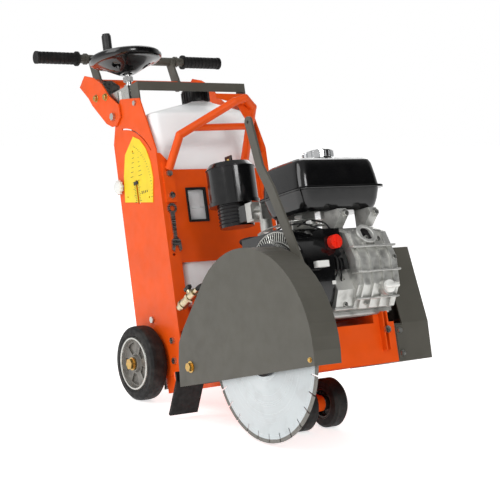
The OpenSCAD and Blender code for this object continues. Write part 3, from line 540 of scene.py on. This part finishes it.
def soft_box(bm, low, high, radius=1.0, segments=2):
    """A box between two corners with rounded edges."""
    low, high = Vector(low), Vector(high)
    middle, size = (low + high) / 2, high - low
    made = bmesh.ops.create_cube(bm, size=1.0)["verts"]
    for v in made:
        v.co = middle + v.co * size
    edges = list({e for v in made for e in v.link_edges})
    bmesh.ops.bevel(bm, geom=edges, offset=radius, segments=segments, affect="EDGES", profile=0.5)


def smooth_route(points, steps):
    """Points along a smooth curve through the given points."""
    p = [Vector(q) for q in points]
    route = []
    for i in range(len(p) - 1):
        a, b, c, d = p[max(i - 1, 0)], p[i], p[i + 1], p[min(i + 2, len(p) - 1)]
        for k in range(steps):
            t = k / steps
            route.append(0.5 * (2 * b + (c - a) * t + (2 * a - 5 * b + 4 * c - d) * t * t
                                + (3 * b - a - 3 * c + d) * t ** 3))
    return route + [p[-1]]


def round_wire(bm, points, radius, sides=12, steps=6):
    """A round wire or lead swept along a smooth curve, or straight runs if steps is 0."""
    route = smooth_route(points, steps) if steps else [Vector(q) for q in points]
    normal = (route[1] - route[0]).normalized().orthogonal().normalized()
    rings = []
    for i, spot in enumerate(route):
        along = (route[min(i + 1, len(route) - 1)] - route[max(i - 1, 0)]).normalized()
        normal = (normal - along * normal.dot(along)).normalized()
        other = along.cross(normal)
        circle = [polar(radius, 360 * k / sides) for k in range(sides)]
        rings.append([bm.verts.new(spot + a * normal + b * other) for a, b in circle])
    skin(bm, rings, capped=True)


def hex_bolt(bm, spot, axis, radius=5.0, washer=True):
    """A hexagon head with its chamfer, on a washer, standing out along axis from spot."""
    base = 0.0
    if washer:
        base = radius * 0.34
        lathe(bm, [(0, 0), (radius * 2.3, 0), (radius * 2.3, radius * 0.24), (radius * 2.2, base),
                   (0, base)], spot, axis, 32)
    top = base + radius * 1.1
    head = [polar(radius * 1.85, 60 * k) for k in range(6)]
    loft(bm, [(base, head), (top, head)], facing(spot, axis))
    crown = top + radius * 0.14
    lathe(bm, [(0, top - EMBED), (radius * 1.58, top - EMBED), (radius * 1.35, crown), (0, crown)],
          spot, axis, 24)


def node_front(node, y, z):
    """Forward face of a CAD node at chassis y and z."""
    far_ahead = CHASSIS @ Vector((1000.0, y, z))
    backward = (CHASSIS.to_3x3() @ -Vector(FORWARD)).normalized()
    hit, spot, _, _ = frame["nodes"][node].ray_cast(far_ahead, backward)
    if not hit:
        raise RuntimeError(f"{node} has no face in front of y {y}, z {z}")
    return (TO_CHASSIS @ spot).x


# ---- Pieces and finishes on the frame ----

def to_object(name, bm):
    """An object in the row frame from a chassis-millimetre shape."""
    bmesh.ops.recalc_face_normals(bm, faces=bm.faces)
    bm.transform(CHASSIS)
    mesh = bpy.data.meshes.new(name)
    bm.to_mesh(mesh)
    bm.free()
    obj = bpy.data.objects.new(name, mesh)
    bpy.context.scene.collection.objects.link(obj)
    return obj


def shade_smooth(mesh, sharp_degrees):
    """Smooth shading that breaks at edges sharper than sharp_degrees."""
    mesh.polygons.foreach_set("use_smooth", [True] * len(mesh.polygons))
    mesh.set_sharp_from_angle(angle=math.radians(sharp_degrees))


def make_piece(name, bm, slot, body="machine", sharp_degrees=35.0):
    """Turns the chassis-millimetre shape into a piece that rides on body."""
    piece = to_object(name, bm)
    shade_smooth(piece.data, sharp_degrees)
    piece.data.materials.append(finish(slot))
    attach(piece, body)
    return piece


def cut(piece, tool_bm):
    """Cuts the chassis-millimetre shape out of a piece."""
    tool = to_object("cutter", tool_bm)
    modifier = piece.modifiers.new("cut", "BOOLEAN")
    modifier.operation = "DIFFERENCE"
    modifier.solver = "EXACT"
    modifier.object = tool
    bpy.context.view_layer.update()
    shape = piece.evaluated_get(bpy.context.evaluated_depsgraph_get())
    solid = bpy.data.meshes.new_from_object(shape)
    piece.modifiers.remove(modifier)
    piece.data = solid
    bpy.data.objects.remove(tool)
    shade_smooth(solid, 35.0)


def paint_nodes(slot, *nodes):
    """Gives CAD nodes their finish."""
    for node in nodes:
        obj = frame["nodes"][node]
        if not obj.material_slots:
            obj.data.materials.append(finish(slot))
        for material_slot in obj.material_slots:
            material_slot.material = finish(slot)


# ---- Operators ----

class SAW_OT_frame_and_columns(bpy.types.Operator):
    """Coats the frame, the columns and what is welded or bolted to them"""
    bl_idname = "saw.frame_and_columns"
    bl_label = "Frame and columns"

    def execute(self, context):
        paint_nodes("orange_paint", "base_frame", "column_right", "column_left", "cross_panel",
                    "lifting_loop", "front_axle_arm", "handle_plates")
        paint_nodes("charcoal_paint", "top_cross_plate")
        paint_nodes("zinc", "spindle_bracket", "zinc_fasteners")
        self.window_trim(context)
        return {"FINISHED"}

    def window_trim(self, context):
        """Black rubber edging that wraps the sides of the window in the cross panel."""
        width = context.scene.saw_sizes.trim_width / MM
        back, front = 147.2, 155.6
        right, left, sill, top = -94.0, -41.0, 350.0, 432.0
        lap, shy = 1.4, 0.1
        bm = bmesh.new()
        for low, high in (
                ((back, right - width, sill - width), (front, right + lap, top + width)),
                ((back, left - lap, sill - width), (front, left + width, top + width)),
                ((back + shy, right, sill - width + shy), (front - shy, left, sill + lap)),
                ((back + shy, right, top - lap), (front - shy, left, top + width - shy))):
            soft_box(bm, low, high, 1.6, 3)
        make_piece("window_trim", bm, "black_rubber")


class SAW_OT_water_system(bpy.types.Operator):
    """Finishes the water tank, its cap, the valve and the hoses"""
    bl_idname = "saw.water_system"
    bl_label = "Water system"

    def execute(self, context):
        self.tank()
        paint_nodes("black_plastic", "tank_cap", "valve_knob")
        paint_nodes("brass", "water_valve")
        paint_nodes("black_rubber", "water_hose")
        return {"FINISHED"}

    def tank(self):
        """Blow-moulded tank: an L-shaped plan, rounded edges and a shoulder up to its neck."""
        back, front, right, left = -40, 146, -124, 162
        wing_back, wing = 52, 40
        top, neck = 646, 693

        def plan(inset, reach):
            x0, x1, y0, y1 = back + inset, front - inset, right + inset, left - inset
            step, near = wing_back + inset, y0 - reach
            return rounded_outline([(x0, y0), (step, y0), (step, near), (x1, near), (x1, y1),
                                    (x0, y1)], 24)

        cap = joint_spot("tank_cap_turn")
        shoulder = rounded_outline([(cap.x + x, cap.y + y) for x, y in (
            (-36, -38), (20, -38), (21, -39), (38, -39), (38, 40), (-36, 40))], 26)
        # Height, how far the wall draws in, and how far the wing stands out.
        wall = [(126.5, 8, 1), (129, 2.5, 1), (134, 0, 1), (254, 0, 1), (262, 0, 32),
                (270, 0, wing), (380, 0, wing), (382, 1.2, wing), (385, 1.2, wing),
                (387, 0, wing), (630, 0, wing), (640, 3, wing), (top, 9, wing)]
        layers = [(z, plan(inset, reach)) for z, inset, reach in wall]
        edge = plan(9, wing)
        for share in (0.25, 0.5, 0.75):
            layers.append((top + 48 * share, [a.lerp(b, share) for a, b in zip(edge, shoulder)]))
        layers.append((neck, shoulder))
        layers.append((neck + 3, [Vector((cap.x, cap.y)).lerp(s, 0.94) for s in shoulder]))
        bm = bmesh.new()
        loft(bm, layers)
        lathe(bm, [(0, 690), (30, 690), (30, 697), (31.4, 698), (31.4, 699.4), (30, 700), (0, 700)],
              (cap.x, cap.y, 0), UP)
        piece = make_piece("moulded_water_tank", bm, "white_tank", sharp_degrees=30.0)
        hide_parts("water_tank")


class SAW_OT_depth_scale(bpy.types.Operator):
    """Prints the depth scale and fits its knob and pointer"""
    bl_idname = "saw.depth_scale"
    bl_label = "Depth scale"

    def execute(self, context):
        paint_nodes("scale_yellow", "scale_plate")
        paint_nodes("black_plastic", "depth_pointer")
        self.graduations(context)
        self.lock_knob()
        return {"FINISHED"}

    def graduations(self, context):
        """Ticks on both sides of the slot, steps above them, a fan of lines and a short row."""
        width = context.scene.saw_sizes.tick_width / MM
        face = node_span("scale_plate")[0].y
        bm = bmesh.new()

        def mark(x0, x1, z, height=width):
            soft_box(bm, (x0, face - 0.25, z), (x1, face + 0.05, z + height), 0.05, 1)

        slot_left, slot_right, first, spacing = 34, 46, 424, 4.5
        for i in range(13):
            z, length = first + i * spacing, 7 if i % 4 else 12
            mark(slot_right, slot_right + length, z)
            mark(slot_left - length, slot_left, z)
        for i in range(6):
            z = 494 + i * 12
            mark(14 + i * 5, 28 + i * 4, z)
            mark(56 + i * 2, 76 - i * 2, z - 4)
        for i in range(22):
            out, up = polar(140, -12 + i * 3.4)
            length = 5 if i % 5 else 9
            mark(out - 20 - length, out - 20, up + 452, width * 0.8)
        for i in range(4):
            mark(62 + i * 9, 66 + i * 9, 440, 8 - i)
        make_piece("scale_graduations", bm, "black_plastic")

    def lock_knob(self):
        """White round knob with ten grip ribs, at the rear edge of the scale."""
        bm = bmesh.new()
        centre = Vector((-46, -175.5, 480))
        lathe(bm, [(0, 0), (12, 0), (12, 3), (16.5, 4), (18, 7), (18, 12), (15, 15.5), (9, 17),
                   (0, 17.4)], centre, RIGHT, 40)
        for i in range(10):
            x, z = polar(18, 36 * i)
            lathe(bm, [(0, 0), (2.2, 0), (2.4, 6.5), (0, 7.5)], centre + Vector((x, -4.5, z)),
                  RIGHT, 10)
        make_piece("scale_lock_knob", bm, "white_plastic")


class SAW_OT_depth_control(bpy.types.Operator):
    """Finishes the handwheel, its knob, screw and nut, and the axle's pivot shaft"""
    bl_idname = "saw.depth_control"
    bl_label = "Depth control"

    def execute(self, context):
        self.wheel()
        paint_nodes("black_plastic", "handwheel_knob")
        paint_nodes("bright_steel", "lift_screw", "screw_nut", "axle_pivot_shaft")
        self.hub_nut()
        return {"FINISHED"}

    def wheel(self):
        """Deep dished wheel with a fat rim, three small openings and the knob's stud."""
        hub, knob = joint_spot("handwheel_spin"), joint_spot("knob_spin")
        section = [(14, 780), (22, 779), (30, 783), (56, 797), (76, 809), (84, 810.5), (92, 812),
                   (97.5, 816), (99, 822), (97.5, 828), (92, 832), (84, 833), (78, 831),
                   (74, 824), (60, 810), (32, 796), (24, 800), (20, 802), (14, 802)]
        bm = bmesh.new()
        ring_band(bm, section, (hub.x, hub.y, 0), UP, 96)
        piece = make_piece("dished_handwheel", bm, "black_enamel", "spindle", 40.0)
        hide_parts("handwheel")
        holes = bmesh.new()
        for degrees in (60, 180, 300):
            x, y = polar(54, degrees)
            lathe(holes, [(0, 0), (12, 0), (12, 90), (0, 90)], (hub.x + x, hub.y + y, 760), UP, 32)
        cut(piece, holes)
        stud = bmesh.new()
        lathe(stud, [(0, 0), (8, 0), (8, 3), (5, 5), (5, 12), (0, 12)], (knob.x, knob.y, 829), UP, 24)
        make_piece("knob_stud", stud, "zinc", "spindle")

    def hub_nut(self):
        """Nut and washer on top of the handwheel."""
        hub = joint_spot("handwheel_spin")
        bm = bmesh.new()
        hex_bolt(bm, (hub.x, hub.y, 802.2), UP, 7.0)
        make_piece("handwheel_nut", bm, "gold_zinc", "spindle")


class SAW_OT_wheels(bpy.types.Operator):
    """Finishes the four wheels and their shafts"""
    bl_idname = "saw.wheels"
    bl_label = "Wheels"

    def execute(self, context):
        for side in ("left", "right"):
            paint_nodes("tyre", f"rear_tyre_{side}", f"front_tyre_{side}")
            paint_nodes("rim_grey", f"rear_rim_{side}")
            paint_nodes("rim_dark", f"front_rim_{side}")
            self.rim_ring(side)
        paint_nodes("gold_zinc", "rear_axle_stubs")
        paint_nodes("zinc", "front_wheel_shaft")
        return {"FINISHED"}

    def rim_ring(self, side):
        """Bare ring at the edge of a rear rim, with the bead it stands on."""
        low, high = node_span(f"rear_rim_{side}")
        face, out = (low.y, -1) if side == "right" else (high.y, 1)
        section = [(63.5, 0.1), (64.5, 1.7), (68.2, 1.7), (69.4, -0.1), (69.4, -3.5), (63.5, -3.5)]
        bm = bmesh.new()
        ring_band(bm, section, (0, face, 0), (0, out, 0), 96)
        make_piece(f"rear_rim_ring_{side}", bm, "zinc", f"rear_wheel_{side}")


class SAW_OT_handle(bpy.types.Operator):
    """Finishes the handle and its grips, and bolts it together"""
    bl_idname = "saw.handle"
    bl_label = "Handle"

    def execute(self, context):
        paint_nodes("charcoal_paint", "handlebar")
        paint_nodes("black_rubber", "handle_grips")
        bm = bmesh.new()
        for side in (-1, 1):
            for x, z in ((-114, 746), (-60, 736)):
                hex_bolt(bm, (x, side * 181, z), (0, side, 0), 4.6)
        make_piece("handle_plate_bolts", bm, "gold_zinc", "handle")
        return {"FINISHED"}


class SAW_OT_blade(bpy.types.Operator):
    """Finishes the blade, its flanges and shaft"""
    bl_idname = "saw.blade"
    bl_label = "Blade"

    def execute(self, context):
        paint_nodes("blade_steel", "blade_core")
        paint_nodes("segment", "blade_segments")
        paint_nodes("dark_steel", "blade_flanges")
        paint_nodes("bright_steel", "blade_shaft")
        paint_nodes("cast_iron", "bearing_housings")
        return {"FINISHED"}


class SAW_OT_guard(bpy.types.Operator):
    """Finishes the blade guard, its lift bar, bolts and splash flap"""
    bl_idname = "saw.guard"
    bl_label = "Blade guard"

    def execute(self, context):
        paint_nodes("charcoal_paint", "blade_guard", "guard_lift_bar")
        paint_nodes("gold_zinc", "guard_bolts")
        paint_nodes("black_rubber", "splash_flap")
        face = node_span("blade_guard")[0].y
        bm = bmesh.new()
        hex_bolt(bm, (834, face, -66), RIGHT, 2.6)
        make_piece("guard_stud", bm, "gold_zinc", "guard")
        return {"FINISHED"}


class SAW_OT_belt_drive(bpy.types.Operator):
    """Finishes the belts, pulleys and belt guard"""
    bl_idname = "saw.belt_drive"
    bl_label = "Belt drive"

    def execute(self, context):
        paint_nodes("charcoal_paint", "belt_guard")
        paint_nodes("cast_iron", "shaft_pulley", "engine_pulley")
        paint_nodes("black_rubber", "drive_belt")
        return {"FINISHED"}


class SAW_OT_engine(bpy.types.Operator):
    """Finishes the engine's castings and adds its small fittings"""
    bl_idname = "saw.engine"
    bl_label = "Engine"

    def execute(self, context):
        paint_nodes("die_cast", "crankcase", "cylinder", "tank_bracket", "carburettor")
        paint_nodes("black_enamel", "fan_cowl", "recoil_cover", "air_filter")
        paint_nodes("bright_steel", "crankshaft")
        paint_nodes("heat_steel", "muffler")
        paint_nodes("red_plastic", "engine_switch")
        paint_nodes("white_plastic", "starter_grip")
        self.oil_cap()
        self.crankcase_bolts()
        self.spark_lead(context)
        self.governor_linkage()
        self.filter_bands()
        self.recoil_centre()
        self.cowl_vents()
        self.crankcase_ledges()
        self.wiring()
        return {"FINISHED"}

    def oil_cap(self):
        """White winged oil filler cap on the front of the crankcase."""
        bm = bmesh.new()
        seat = Vector((744, 42, 82))
        lathe(bm, [(0, 0), (15, 0), (15, 5), (12, 7.5), (9, 9), (0, 9)], seat, FORWARD, 36)
        soft_box(bm, seat + Vector((8, -21, -4)), seat + Vector((16, 21, 4)), 3.4, 3)
        make_piece("oil_filler_cap", bm, "white_plastic")

    def crankcase_bolts(self):
        """Flange bolts round the crankcase cover, the drain plug and the mounting bolts."""
        bm = bmesh.new()
        for y, z in ((-62, 52), (-62, 112), (-8, 52), (15, 200), (48, 196), (74, 150)):
            hex_bolt(bm, (node_front("crankcase", y, z), y, z), FORWARD, 3.4, washer=False)
        for y in (-102, 46):
            hex_bolt(bm, (668, y, 34), UP, 4.6)
        for y in (-21, 69):
            hex_bolt(bm, (700.2, y, 262), FORWARD, 4.2)
        make_piece("engine_bolts", bm, "zinc")

    def spark_lead(self, context):
        """Spark plug cap and its lead, from the cylinder head to the cowl."""
        radius = context.scene.saw_sizes.lead_radius / MM
        bm = bmesh.new()
        round_wire(bm, [(392, -66, 232), (388, -92, 240), (404, -118, 250), (452, -132, 250),
                        (492, -128, 246)], radius)
        lathe(bm, [(0, 0), (9, 0), (9.5, 16), (7, 22), (6, 34), (0, 34)],
              (398, -48, 226), (-0.35, -0.9, 0.25), 20)
        make_piece("spark_plug_lead", bm, "black_rubber")

    def governor_linkage(self):
        """Throttle arm, rod and return spring over the cowl, below the fuel tank."""
        bm = bmesh.new()
        round_wire(bm, [(462, -104, 258), (520, -112, 262), (600, -104, 264), (646, -70, 262)],
                   1.6, 8)
        turns, length, steps = 14, 70.0, 8
        coil = []
        for i in range(turns * steps + 1):
            y, z = polar(3.4, 360 * i / steps)
            coil.append(Vector((520 + length * i / (turns * steps), y - 92, z + 262)))
        round_wire(bm, coil, 0.7, 6, 0)
        soft_box(bm, (590, -96, 246), (594, -62, 270))
        soft_box(bm, (638, -84, 243), (664, -46, 246))
        hex_bolt(bm, (594, -80, 258), FORWARD, 2.6)
        hex_bolt(bm, (651, -64, 246), UP, 3.0)
        make_piece("governor_linkage", bm, "zinc")

    def starter_centre(self, y):
        """The middle of the recoil starter's face at y, a little above the crankshaft."""
        crank = joint_spot("crank_spin")
        return Vector((crank.x, y, crank.z + 2))

    def cowl_vents(self):
        """Row of bare air vanes round the top of the fan cowl's outer face."""
        face = -160.0
        bm = bmesh.new()
        hub = self.starter_centre(face - 1.6)
        for i in range(25):
            x, z = polar(1, 36 + 4.5 * i)
            out = Vector((x, 0, z))
            round_wire(bm, [hub + out * 91, hub + out * 112], 1.5, 8, 0)
        hub = self.starter_centre(face - 1.0)
        for reach in (90, 113):
            arc = [polar(reach, degrees) for degrees in range(30, 151, 5)]
            round_wire(bm, [hub + Vector((x, 0, z)) for x, z in arc], 1.6, 8, 0)
        make_piece("cowl_vents", bm, "zinc")

    def crankcase_ledges(self):
        """Cast ledges, the dark bearing recess and the sump lip on the crankcase front."""
        bm = bmesh.new()
        for z, x in ((58, 727), (118, 747), (176, 740)):
            soft_box(bm, (x - 26, -42, z), (x, 84, z + 5), 1.6, 2)
        soft_box(bm, (676, -90, 92), (712, -34, 98), 1.8, 2)
        soft_box(bm, (672, -92, 40), (706, -36, 47), 1.8, 2)
        soft_box(bm, (684, -130, 26), (694, 74, 36), 2.0, 2)
        seat, out = (716, 18, 208), (0.86, 0, 0.5)
        ring_band(bm, [(17, -8), (27, -8), (27, 4), (25, 6), (18.5, 6), (17, 4.5)], seat, out, 48)
        make_piece("crankcase_ledges", bm, "die_cast")
        recess = bmesh.new()
        lathe(recess, [(0, -8), (17.6, -8), (17.6, 1), (14, 0), (6, 0), (5, 2.5), (0, 2.5)],
              seat, out, 40)
        make_piece("crankcase_recess", recess, "dark_steel")

    def wiring(self):
        """Stop-switch leads with their white connectors, and the wires along the cowl."""
        leads = (
            ((703, -67, 170), (716, -65, 148), (714, -68, 118), (704, -64, 96), (690, -60, 84)),
            ((702, -77, 170), (719, -78, 156), (721, -82, 128), (712, -91, 108), (700, -98, 100)),
            ((600, -86, 252), (640, -82, 258), (680, -70, 246), (698, -67, 224)),
            ((560, -118, 251), (606, -122, 254), (650, -106, 250), (688, -88, 230)))
        bm = bmesh.new()
        for lead in leads:
            round_wire(bm, lead, 2.1, 8)
        make_piece("engine_wiring", bm, "black_rubber")
        plugs = bmesh.new()
        for corner in ((699, -68, 87), (701, -98, 99), (633, -86, 249)):
            soft_box(plugs, corner, Vector(corner) + Vector((16, 11, 9)), 1.4, 2)
        make_piece("wiring_plugs", plugs, "white_plastic")

    def filter_bands(self):
        """Clamp bands, the ribs of the intake below, and the wing nut of the air filter."""
        foot = Vector((315, -60, 0))
        bm = bmesh.new()
        for z, r in ((352, 44.2), (449, 62.2)):
            ring_band(bm, [(r - 0.6, z), (r + 0.8, z + 0.4), (r + 0.8, z + 2.6), (r - 0.6, z + 3)],
                      foot, UP, 72)
        for z in range(308, 345, 9):
            ring_band(bm, [(43.4, z), (45.4, z + 1), (45.4, z + 3), (43.4, z + 4)], foot, UP, 60)
        make_piece("air_filter_bands", bm, "dark_steel")
        wing = bmesh.new()
        lathe(wing, [(0, 464), (9, 464), (9, 466), (6, 472), (5, 476), (0, 476)], foot, UP, 24)
        make_piece("filter_wing_nut", wing, "gold_zinc")

    def recoil_centre(self):
        """Pressed boss and screws of the recoil starter."""
        face = node_span("recoil_cover")[0].y
        bm = bmesh.new()
        lathe(bm, [(0, 0), (24, 0), (23, 2.6), (10, 4.4), (0, 4.6)], self.starter_centre(face),
              RIGHT, 40)
        for degrees in (30, 150, 270):
            x, z = polar(84, degrees)
            hex_bolt(bm, self.starter_centre(-188) + Vector((x, 0, z)), RIGHT, 2.4)
        make_piece("recoil_centre", bm, "dark_steel")


class SAW_OT_fuel_tank(bpy.types.Operator):
    """Presses the fuel tank's crowned shells and fits its cap"""
    bl_idname = "saw.fuel_tank"
    bl_label = "Fuel tank"

    def execute(self, context):
        paint_nodes("chrome", "fuel_cap")
        self.shells(context.scene.saw_sizes.seam_lip / MM)
        return {"FINISHED"}

    def shells(self, lip):
        """Two pressed shells with a rolled double seam, a crowned top and a filler neck."""
        back, front, right, left = 514, 686, -124, 118

        def plan(inset):
            x0, x1, y0, y1 = back + inset, front - inset, right + inset, left - inset
            return rounded_outline([(x0, y0), (x1, y0), (x1, y1), (x0, y1)], 30 - inset * 0.3, 8)

        # Height, and how far the wall draws in there.
        lower = [(275.8, 26), (276.8, 20), (280, 15), (287, 11), (300, 6.5), (324.6, 1)]
        seam = [(325, -lip), (327, -lip - 0.7), (327.8, -lip + 2), (328.4, -lip + 2),
                (329.2, -lip - 0.7), (331, -lip)]
        upper = [(331.4, 0.5), (360, 4), (386, 8), (395, 12), (401, 20), (404.5, 34),
                 (406.5, 56), (407, 76)]
        bm = bmesh.new()
        loft(bm, [(z, plan(inset)) for z, inset in lower + seam + upper])
        neck = joint_spot("fuel_cap_turn")
        lathe(bm, [(0, 400), (34, 400), (32, 408), (29, 409.5), (0, 409.5)],
              (neck.x, neck.y, 0), UP)
        piece = make_piece("pressed_fuel_tank", bm, "black_enamel", sharp_degrees=28.0)
        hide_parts("fuel_tank")


class SAW_OT_spanner(bpy.types.Operator):
    """Hangs the blade spanner on the right column"""
    bl_idname = "saw.spanner"
    bl_label = "Spanner"

    def execute(self, context):
        face = 157.6
        # Outlines in Y and Z, raised forward from the column's flange.
        place = Matrix(((0, 0, 1, face), (1, 0, 0, 0), (0, 1, 0, 0), (0, 0, 0, 1)))
        shank = [(-156, 300), (-147, 300), (-145, 372), (-158, 372)]
        jaw = [(-166, 274), (-160, 268), (-156, 284), (-147, 284), (-143, 268), (-137, 274),
               (-139, 298), (-147, 306), (-156, 306), (-164, 298)]
        bm = bmesh.new()
        loft(bm, [(0, shank), (4.5, shank)], place)
        ring_band(bm, [(7.5, 0.2), (13.5, 0.2), (13.5, 6), (7.5, 6)], (face, -151.5, 382), FORWARD, 32)
        loft(bm, [(0, jaw), (5.5, jaw)], place)
        make_piece("blade_spanner", bm, "bright_steel")
        return {"FINISHED"}


WHITE = (1.0, 1.0, 1.0, 1.0)


class SAW_OT_studio(bpy.types.Operator):
    """Sets the pale floor, the soft lights and the camera"""
    bl_idname = "saw.studio"
    bl_label = "Studio"

    def execute(self, context):
        settings = context.scene.saw_studio
        self.floor(settings)
        self.sky(context.scene, settings)
        self.softbox("key_softbox", (0.4, -3.4, 2.8), 2.4, settings.key_power)
        self.softbox("fill_softbox", (3.2, -0.4, 2.4), 1.0, settings.fill_power * 1.6)
        self.softbox("rear_softbox", (-2.4, 2.6, 2.4), 2.0, settings.fill_power)
        self.camera(context.scene)
        return {"FINISHED"}

    def floor(self, settings):
        """Pale matt disc, far wider than the view, that glows a little to meet the white."""
        bpy.ops.mesh.primitive_circle_add(vertices=96, radius=60.0, fill_type="NGON")
        floor = bpy.context.object
        floor.name = "studio_floor"
        f = Finish("matt_studio_floor", settings.floor, 0.0, 0.6, {
            "Emission Color": WHITE, "Emission Strength": settings.floor_glow})
        f.rough(f.clouds(300, 2), 0.5, 0.7)
        floor.data.materials.append(f.material)

    def sky(self, scene, settings):
        """White all round to the eye, and a dimmer dome, paler at the horizon, as light."""
        world = bpy.data.worlds.new("studio_white")
        world.use_nodes = True
        tree = world.node_tree
        spot = add_node(tree, "TexCoord").outputs["Generated"]
        height = add_node(tree, "SeparateXYZ", {"Vector": spot}).outputs["Z"]
        level = add_node(tree, "MapRange", {
            "Value": height, "From Min": 0.0, "From Max": 0.9,
            "To Min": 1.15, "To Max": 0.7}).outputs[0]
        # A black flag stands front left of the saw, so its glossy fronts go deep black.
        toward = add_node(tree, "VectorMath", {0: spot, 1: (0.74, 0.62, 0.25)},
                          operation="DOT_PRODUCT").outputs["Value"]
        flag = add_node(tree, "MapRange", {
            "Value": toward, "From Min": 0.60, "From Max": 0.88,
            "To Min": 1.0, "To Max": 0.05}).outputs[0]
        dome = settings.sky_strength
        for factor in (level, flag):
            dome = add_node(tree, "Math", {0: factor, 1: dome},
                            operation="MULTIPLY").outputs[0]
        seen = add_node(tree, "LightPath").outputs["Is Camera Ray"]
        strength = add_node(tree, "Mix", {"Factor": seen, "A": dome, "B": 1.0})
        background = tree.nodes["Background"]
        background.inputs["Color"].default_value = WHITE
        tree.links.new(strength.outputs["Result"], background.inputs["Strength"])
        scene.world = world

    def softbox(self, name, spot, size, power):
        """A square soft light aimed at the middle of the saw."""
        light = bpy.data.lights.new(name, "AREA")
        light.size = size
        light.energy = power
        lamp = bpy.data.objects.new(name, light)
        lamp.location = spot
        aim = Vector((0.05, 0.0, 0.4)) - Vector(spot)
        lamp.rotation_euler = aim.to_track_quat("-Z", "Y").to_euler()
        bpy.context.scene.collection.objects.link(lamp)

    def camera(self, scene):
        data = bpy.data.cameras.new("camera")
        data.lens = 95.8
        data.sensor_width = 36.0
        camera = bpy.data.objects.new("camera", data)
        camera.location = (2.8115, -1.9407, 0.7059)
        camera.rotation_euler = (math.radians(84.9), 0.0, math.radians(55.4))
        scene.collection.objects.link(camera)
        scene.camera = camera
        scene.view_settings.view_transform = "Standard"


OPERATORS = (
    SAW_OT_studio,
    SAW_OT_frame_and_columns,
    SAW_OT_water_system,
    SAW_OT_depth_scale,
    SAW_OT_depth_control,
    SAW_OT_wheels,
    SAW_OT_handle,
    SAW_OT_blade,
    SAW_OT_guard,
    SAW_OT_belt_drive,
    SAW_OT_engine,
    SAW_OT_fuel_tank,
    SAW_OT_spanner,
)


class SAW_PT_panel(bpy.types.Panel):
    """Lists the saw's settings and steps"""
    bl_idname = "SAW_PT_panel"
    bl_label = "Concrete saw"
    bl_space_type = "VIEW_3D"
    bl_region_type = "UI"
    bl_category = "Saw"

    def draw(self, context):
        for settings in SETTINGS:
            group = getattr(context.scene, settings)
            for name in group.__annotations__:
                self.layout.prop(group, name)
        for operator in OPERATORS:
            self.layout.operator(operator.bl_idname)


SETTINGS = {"saw_colours": SawColours, "saw_sizes": SawSizes, "saw_studio": StudioSettings}


def register():
    for group in SETTINGS.values():
        bpy.utils.register_class(group)
    for cls in (*OPERATORS, SAW_PT_panel):
        bpy.utils.register_class(cls)
    for name, group in SETTINGS.items():
        setattr(bpy.types.Scene, name, bpy.props.PointerProperty(type=group))


def unregister():
    for name in SETTINGS:
        delattr(bpy.types.Scene, name)
    for cls in (SAW_PT_panel, *reversed(OPERATORS)):
        bpy.utils.unregister_class(cls)
    for group in SETTINGS.values():
        bpy.utils.unregister_class(group)


def main():
    register()
    for operator in OPERATORS:
        group, name = operator.bl_idname.split(".")
        getattr(getattr(bpy.ops, group), name)()


if __name__ == "__main__":
    main()
